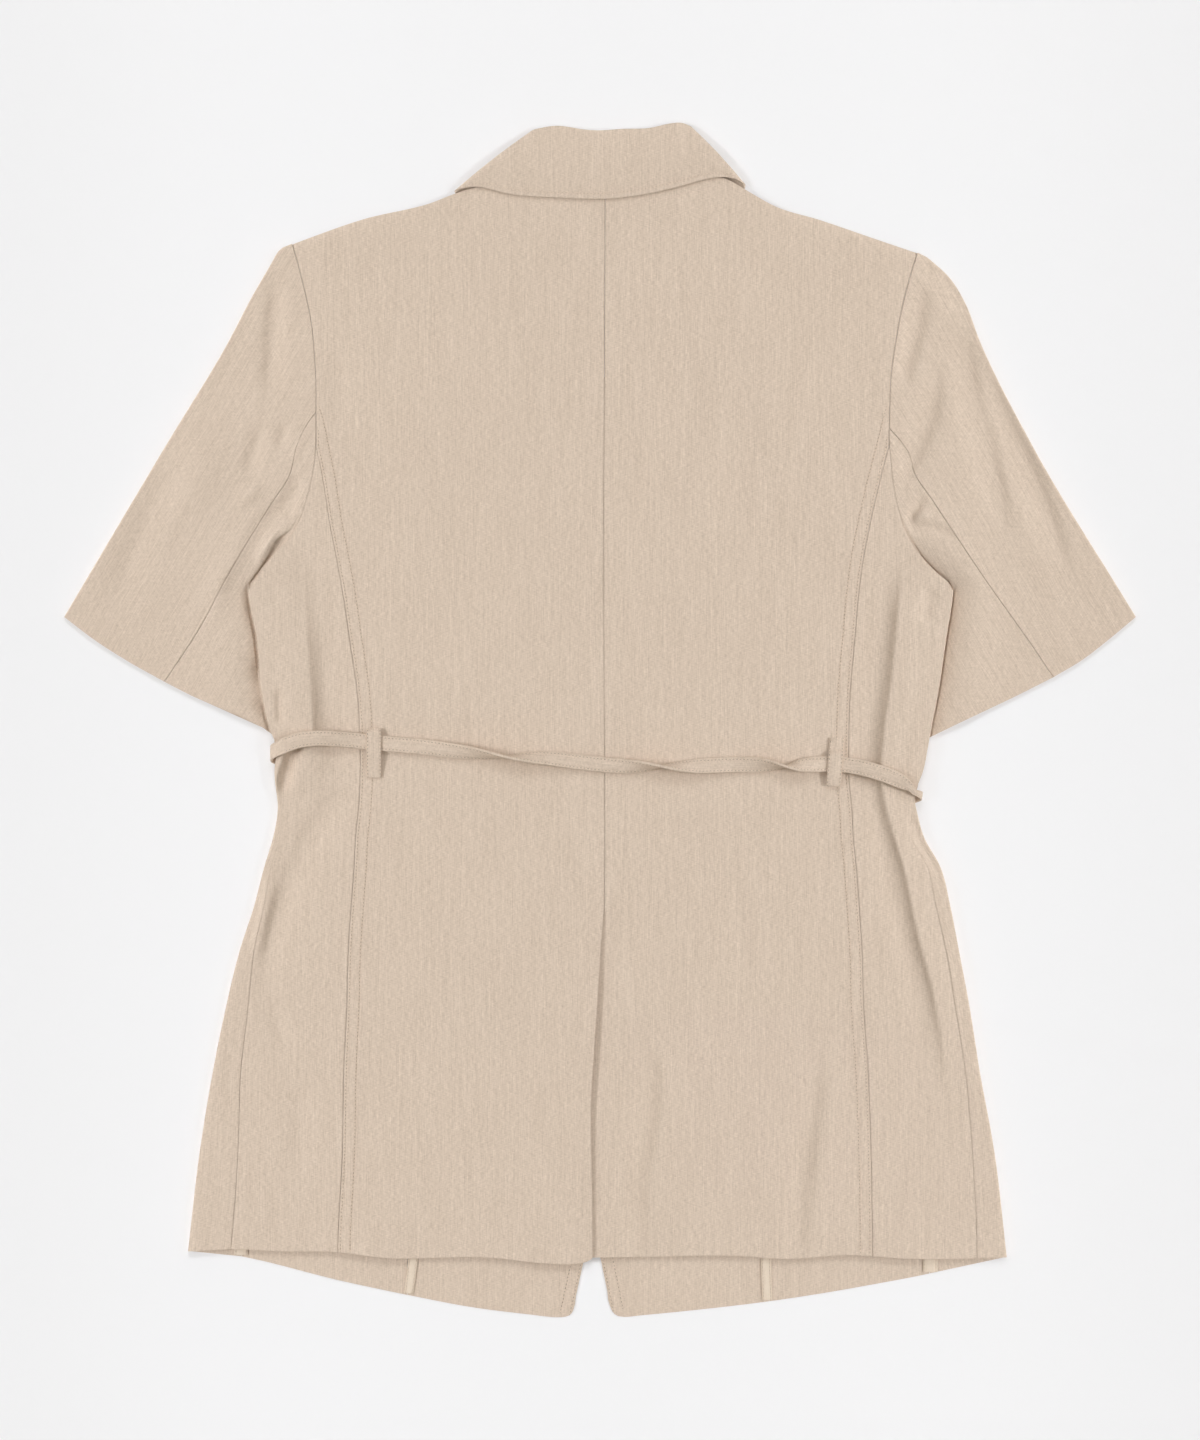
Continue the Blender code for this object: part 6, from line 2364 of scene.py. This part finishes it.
@dataclass
class BeltPiece:
    """The narrow belt, twisted across the back, with its ends under the fronts."""

    room: Workroom
    steps: int = 420
    wrap_steps: int = 14
    bridge: float = 14.0
    settle: float = 0.8
    gather: float = 0.62
    gather_reach: float = 9.0
    seat_points: int = 5
    hidden_steps: int = 20
    crown: float = 0.1

    def over_width(self) -> Array:
        """Places across the belt's width."""
        return np.linspace(-BELT_WIDTH / 2, BELT_WIDTH / 2, self.seat_points)

    def seat(self, points: Array) -> Array:
        """The highest cloth under the belt's width at points of its route."""
        tops = [self.room.drape.back(points + (0.0, shift)) for shift in self.over_width()]
        return np.max(tops, axis=0) + SHOWN_CLOTH / 2 + BELT_CLEAR

    def smooth_seat(self, plan: Array) -> Array:
        """The belt's seat along its route, bridging the dips between folds.

        Args:
            plan: The route.

        Returns:
            A height for each of its points.
        """
        seat = self.seat(plan)
        lengths = lengths_along(plan)
        near = np.abs(lengths[:, None] - lengths[None])
        weights = bell(near, self.bridge)
        level = np.max(np.where(near < self.bridge, seat[None], -np.inf), axis=1)
        return weights @ level / weights.sum(axis=1)

    def over_back(self) -> tuple[Array, Array]:
        """Centres and width directions of the belt's stretch across the back.

        Returns:
            The centres and the directions, point by point.
        """
        rows = np.array(BELT_BACK, float)
        knots = lengths_along(rows[:, :2])
        route = hermite(knots, rows, np.linspace(0, knots[-1], self.steps))
        turn = np.radians(route[:, 2])
        plan = route[:, :2]
        along = unit(np.gradient(plan, axis=0))
        rise = BELT_WIDTH / 2 * np.abs(np.sin(turn)) + BELT_THICK / 2 * np.abs(np.cos(turn))
        centres = raised(plan, self.smooth_seat(plan) + rise)
        across = np.stack([-along[:, 1] * np.cos(turn), along[:, 0] * np.cos(turn), np.sin(turn)], axis=1)
        return centres, across

    def round_side(self, side: Side) -> tuple[Array, Array]:
        """Centres and width directions of the belt round one side, to its end under the front.

        Args:
            side: The side.

        Returns:
            The centres and a direction for each.
        """
        drape = self.room.drape
        level = BELT_WRAP_LEVEL[side]
        sign = side.inward
        width = at_levels(f"{side.value}_edge", level + self.over_width())
        edge_x = -sign * np.max(-sign * width[:, 0])
        start = np.array([[edge_x + sign * FOLD_INSET, level]])
        upper = self.seat(start)[0] + BELT_THICK / 2
        under = drape.front(np.stack([np.full(len(width), start[0, 0]), width[:, 1]], axis=1)).min()
        lower = max(under - CLOTH / 2 - BELT_CLEAR - BELT_THICK / 2, BELT_FOOT)
        radius = (upper - lower) / 2
        limit = edge_x + sign * (radius - BELT_THICK / 2 - BELT_CLEAR)
        foot = drape.belt_ends[side][0, 1]
        centres = []
        for share in even(self.wrap_steps):
            angle = share * np.pi
            height = (upper + lower) / 2 + radius * np.cos(angle)
            centres.append([limit - sign * radius * np.sin(angle), level + (foot - level) * share, height])
        for point in sample(drape.belt_ends[side], even(self.hidden_steps)):
            if point[0] * sign > limit * sign + BELT_WIDTH:
                centres.append([*point, BELT_FOOT])
        return np.array(centres), np.tile([0.0, 1.0, 0.0], (len(centres), 1))

    def spread(self, line: Array) -> Array:
        """The share of the belt's width that it keeps, less where it gathers round the right side.

        Args:
            line: The belt's centres.

        Returns:
            A share for each of them.
        """
        level = BELT_WRAP_LEVEL[Side.RIGHT]
        turn = np.array([column("right_edge", np.array([level]))[0], level])
        return 1 - self.gather * bell(np.linalg.norm(line[:, :2] - turn, axis=1), self.gather_reach)

    def build(self) -> None:
        """Builds the belt and its edge stitching."""
        centres, across = self.over_back()
        left, left_across = self.round_side(Side.LEFT)
        right, right_across = self.round_side(Side.RIGHT)
        line = np.vstack([left[::-1], centres, right])
        settled = ease(even(len(right) - 1) * len(right) / (self.wrap_steps * self.settle))[:, None]
        right_across = across[-1] * (1 - settled) + right_across * np.sign(across[-1, 1]) * settled
        widths = np.vstack([left_across, across, right_across])
        piece = ribbon("belt_strip", line, widths, BELT_WIDTH, BELT_THICK, self.crown,
                       STRIP_ROW, self.spread(line))
        self.room.dress(piece, self.room.suiting, "belt")
        faced = unit(np.cross(np.gradient(centres, axis=0), across))
        held = across * self.spread(centres)[:, None]
        rows = []
        for face in (1, -1):
            for edge in (1, -1):
                aside = held * edge * (BELT_WIDTH / 2 - STRIP_ROW)
                shift = aside + faced * face * (BELT_THICK / 2 - STRIP_STITCH_SINK)
                rows.append((centres + shift, faced * face))
        stitches = self.room.stitch("belt_stitching", "belt", rows, Sewn.STRIP)


@dataclass
class BeltLoops:
    """The stitched strips that hold the belt on the princess seams."""

    room: Workroom
    belt: BeltPiece
    steps: int = 44
    seat_lift: float = 0.6
    belt_lift: float = 0.3
    crown: float = 0.08
    tack_half: float = 3.2
    tack_points: int = 5
    tack_steps: tuple[int, int] = (2, -3)

    def build(self) -> None:
        """Builds both loops."""
        for side in Side:
            self.loop(side)

    def loop(self, side: Side) -> None:
        """Builds one loop.

        Args:
            side: The loop's side.
        """
        place = LOOPS[side]
        ends = np.array([[place.top_x, place.top_y], [place.foot_x, place.foot_y]])
        plan = sample(ends, even(self.steps))
        centres, _ = self.belt.over_back()
        middle = np.interp(plan[:, 0], centres[:, 0], centres[:, 1])
        clear = BELT_WIDTH / 2 + LOOP_EASE
        shoulder = np.where(plan[:, 1] < middle, LOOP_FALL, LOOP_SHOULDER)
        over = fade((np.abs(plan[:, 1] - middle) - clear) / shoulder, 0.0, 1.0)
        belt_top = np.interp(plan[:, 0], centres[:, 0], centres[:, 2]) + BELT_THICK / 2
        flat = self.belt.seat(plan) - BELT_CLEAR + self.seat_lift
        heights = flat + over * (belt_top + self.belt_lift - flat) + LOOP_THICK / 2
        line = raised(plan, heights)
        across = np.tile([1.0, 0.0, 0.0], (len(plan), 1))
        node = f"belt_loop_{side.value}"
        piece = ribbon(f"{node}_strip", line, across, LOOP_WIDTH, LOOP_THICK, self.crown, LOOP_ROW)
        self.room.dress(piece, self.room.suiting, node)
        up = np.cross(across, np.gradient(line, axis=0))
        up = unit(up * np.sign(up[:, 2:]))
        face = line + up * (LOOP_THICK / 2 - STRIP_STITCH_SINK)
        rows = [(face + across * edge * (LOOP_WIDTH / 2 - LOOP_ROW), up) for edge in (-1, 1)]
        tack = np.linspace(-self.tack_half, self.tack_half, self.tack_points)[:, None]
        for end in self.tack_steps:
            rows.append((face[end] + tack * across[end], np.tile(up[end], (self.tack_points, 1))))
        stitches = self.room.stitch(f"{node}_stitching", node, rows, Sewn.STRIP)


@dataclass
class Studio:
    """The pale floor, the soft lights and the camera over the jacket."""

    frame_height: float = 979.2
    camera_height: float = 5.2
    sensor: float = 36.0
    floor_size: float = 8.0
    floor_colour: tuple[float, float, float, float] = (0.93, 0.93, 0.945, 1)
    floor_roughness: float = 0.9
    floor_specular: float = 0.1
    world_strength: float = 0.335
    overhead_power: float = 0.37
    side_power: float = 2.75
    head_power: float = 1.28
    surround_power: float = 1.92
    overlap: float = 0.04
    fill_tint: tuple[float, float, float, float] = (1.0, 0.96, 0.86, 1)
    key_tint: Colour = (0.985, 1.0, 1.035)
    side_elevation: float = math.radians(45)
    throw: float = 1.0
    lit_width: float = 1.7
    lit_depth: float = 1.2
    grid_spread: float = math.radians(26)

    def floor(self) -> None:
        """Lays the floor."""
        bpy.ops.mesh.primitive_plane_add(size=self.floor_size)
        plane = bpy.context.object
        plane.name = "floor"
        material = plain_material("pale_floor", self.floor_roughness, self.floor_specular)
        shader = material.node_tree.nodes["Principled BSDF"]
        shader.inputs["Base Color"].default_value = self.floor_colour
        plane.data.materials.append(material)

    def softbox(self, name: str, heading: float, elevation: float, target: float, width: float, depth: float,
                power: float) -> None:
        """Hangs a gridded softbox that lights a set stretch of the floor.

        Args:
            name: Its name.
            heading: The direction in plan that its light comes from, in radians.
            elevation: How steeply its light falls, in radians.
            target: How far along the heading the middle of the lit stretch lies, in metres.
            width: Width of the lit stretch across the heading.
            depth: Length of the lit stretch along the heading.
            power: Its power in watts.
        """
        light = bpy.data.lights.new(name, "AREA")
        light.shape = "RECTANGLE"
        light.size = width
        light.size_y = depth * math.sin(elevation)
        light.spread = self.grid_spread
        light.energy = power
        light.color = self.key_tint
        lamp = bpy.data.objects.new(name, light)
        bpy.context.scene.collection.objects.link(lamp)
        reach = target + self.throw * math.cos(elevation)
        height = self.throw * math.sin(elevation)
        lamp.location = (reach * math.cos(heading), reach * math.sin(heading), height)
        lamp.rotation_euler = (math.pi / 2 - elevation, 0.0, heading + math.pi / 2)
        lamp.visible_camera = False

    def lights(self) -> None:
        """Hangs one softbox overhead, one on each side and one past the collar, and fills the room."""
        half = self.lit_depth / 2
        low = self.side_elevation
        wide, deep, middle = self.lit_width, self.lit_depth, half - self.overlap
        self.softbox("overhead_softbox", 0.0, math.pi / 2, 0.0, wide, wide, self.overhead_power)
        self.softbox("left_softbox", math.pi, low, middle, wide, deep, self.side_power)
        self.softbox("right_softbox", 0.0, low, middle, wide, deep, self.side_power)
        self.softbox("head_softbox", math.pi / 2, low, 0.0, wide, wide, self.head_power)
        world = bpy.data.worlds.new("room")
        bpy.context.scene.world = world
        world.use_nodes = True
        fill = world.node_tree.nodes["Background"]
        fill.inputs["Color"].default_value = self.fill_tint
        fill.inputs["Strength"].default_value = self.world_strength

    def surround(self) -> None:
        """Lights the floor beyond the jacket as brightly, so that it stays pale in views from the side."""
        beside, past = self.lit_depth - self.overlap, self.lit_width / 2
        reach = self.floor_size / 2
        places = (
            ("left_surround", math.pi, beside, 2 * reach),
            ("right_surround", 0.0, beside, 2 * reach),
            ("far_surround", math.pi / 2, past, 2 * beside),
            ("near_surround", -math.pi / 2, past, 2 * beside),
        )
        for name, heading, start, width in places:
            depth = reach - start
            power = self.surround_power * width * depth
            self.softbox(name, heading, math.pi / 2, start + depth / 2, width, depth, power)

    def camera(self) -> None:
        """Hangs the camera straight over the jacket, framed as the photo is."""
        data = bpy.data.cameras.new("camera")
        data.sensor_fit = "AUTO"
        data.sensor_width = self.sensor
        data.lens = self.sensor * self.camera_height / (self.frame_height * MM)
        camera = bpy.data.objects.new("camera", data)
        camera.location = (0.0, 0.0, self.camera_height)
        bpy.context.scene.collection.objects.link(camera)
        bpy.context.scene.camera = camera

    def build(self) -> None:
        """Sets the whole studio."""
        self.floor()
        self.lights()
        self.surround()
        self.camera()
        bpy.context.scene.view_settings.view_transform = "Standard"


def main() -> None:
    """Builds the studio and the jacket, and reports each piece."""
    logging.basicConfig(level=logging.INFO, format="%(message)s")
    Studio().build()
    nodes = WeaveNodes()
    room = Workroom(
        drape=Drape(),
        thread=Thread(),
        suiting=SUITING.material(nodes),
        binding=TAPE.material(nodes),
        sewing={sewn: SewingThread(sewn.value, hole=NEEDLE_HOLE_SHADE[sewn]).material(nodes) for sewn in Sewn},
    )
    BackBody(room).build()
    SidePanels(room).build()
    FrontBody(room).build()
    Sleeves(room).build()
    CollarPiece(room).build()
    belt = BeltPiece(room)
    belt.build()
    BeltLoops(room, belt).build()


if __name__ == "__main__":
    main()
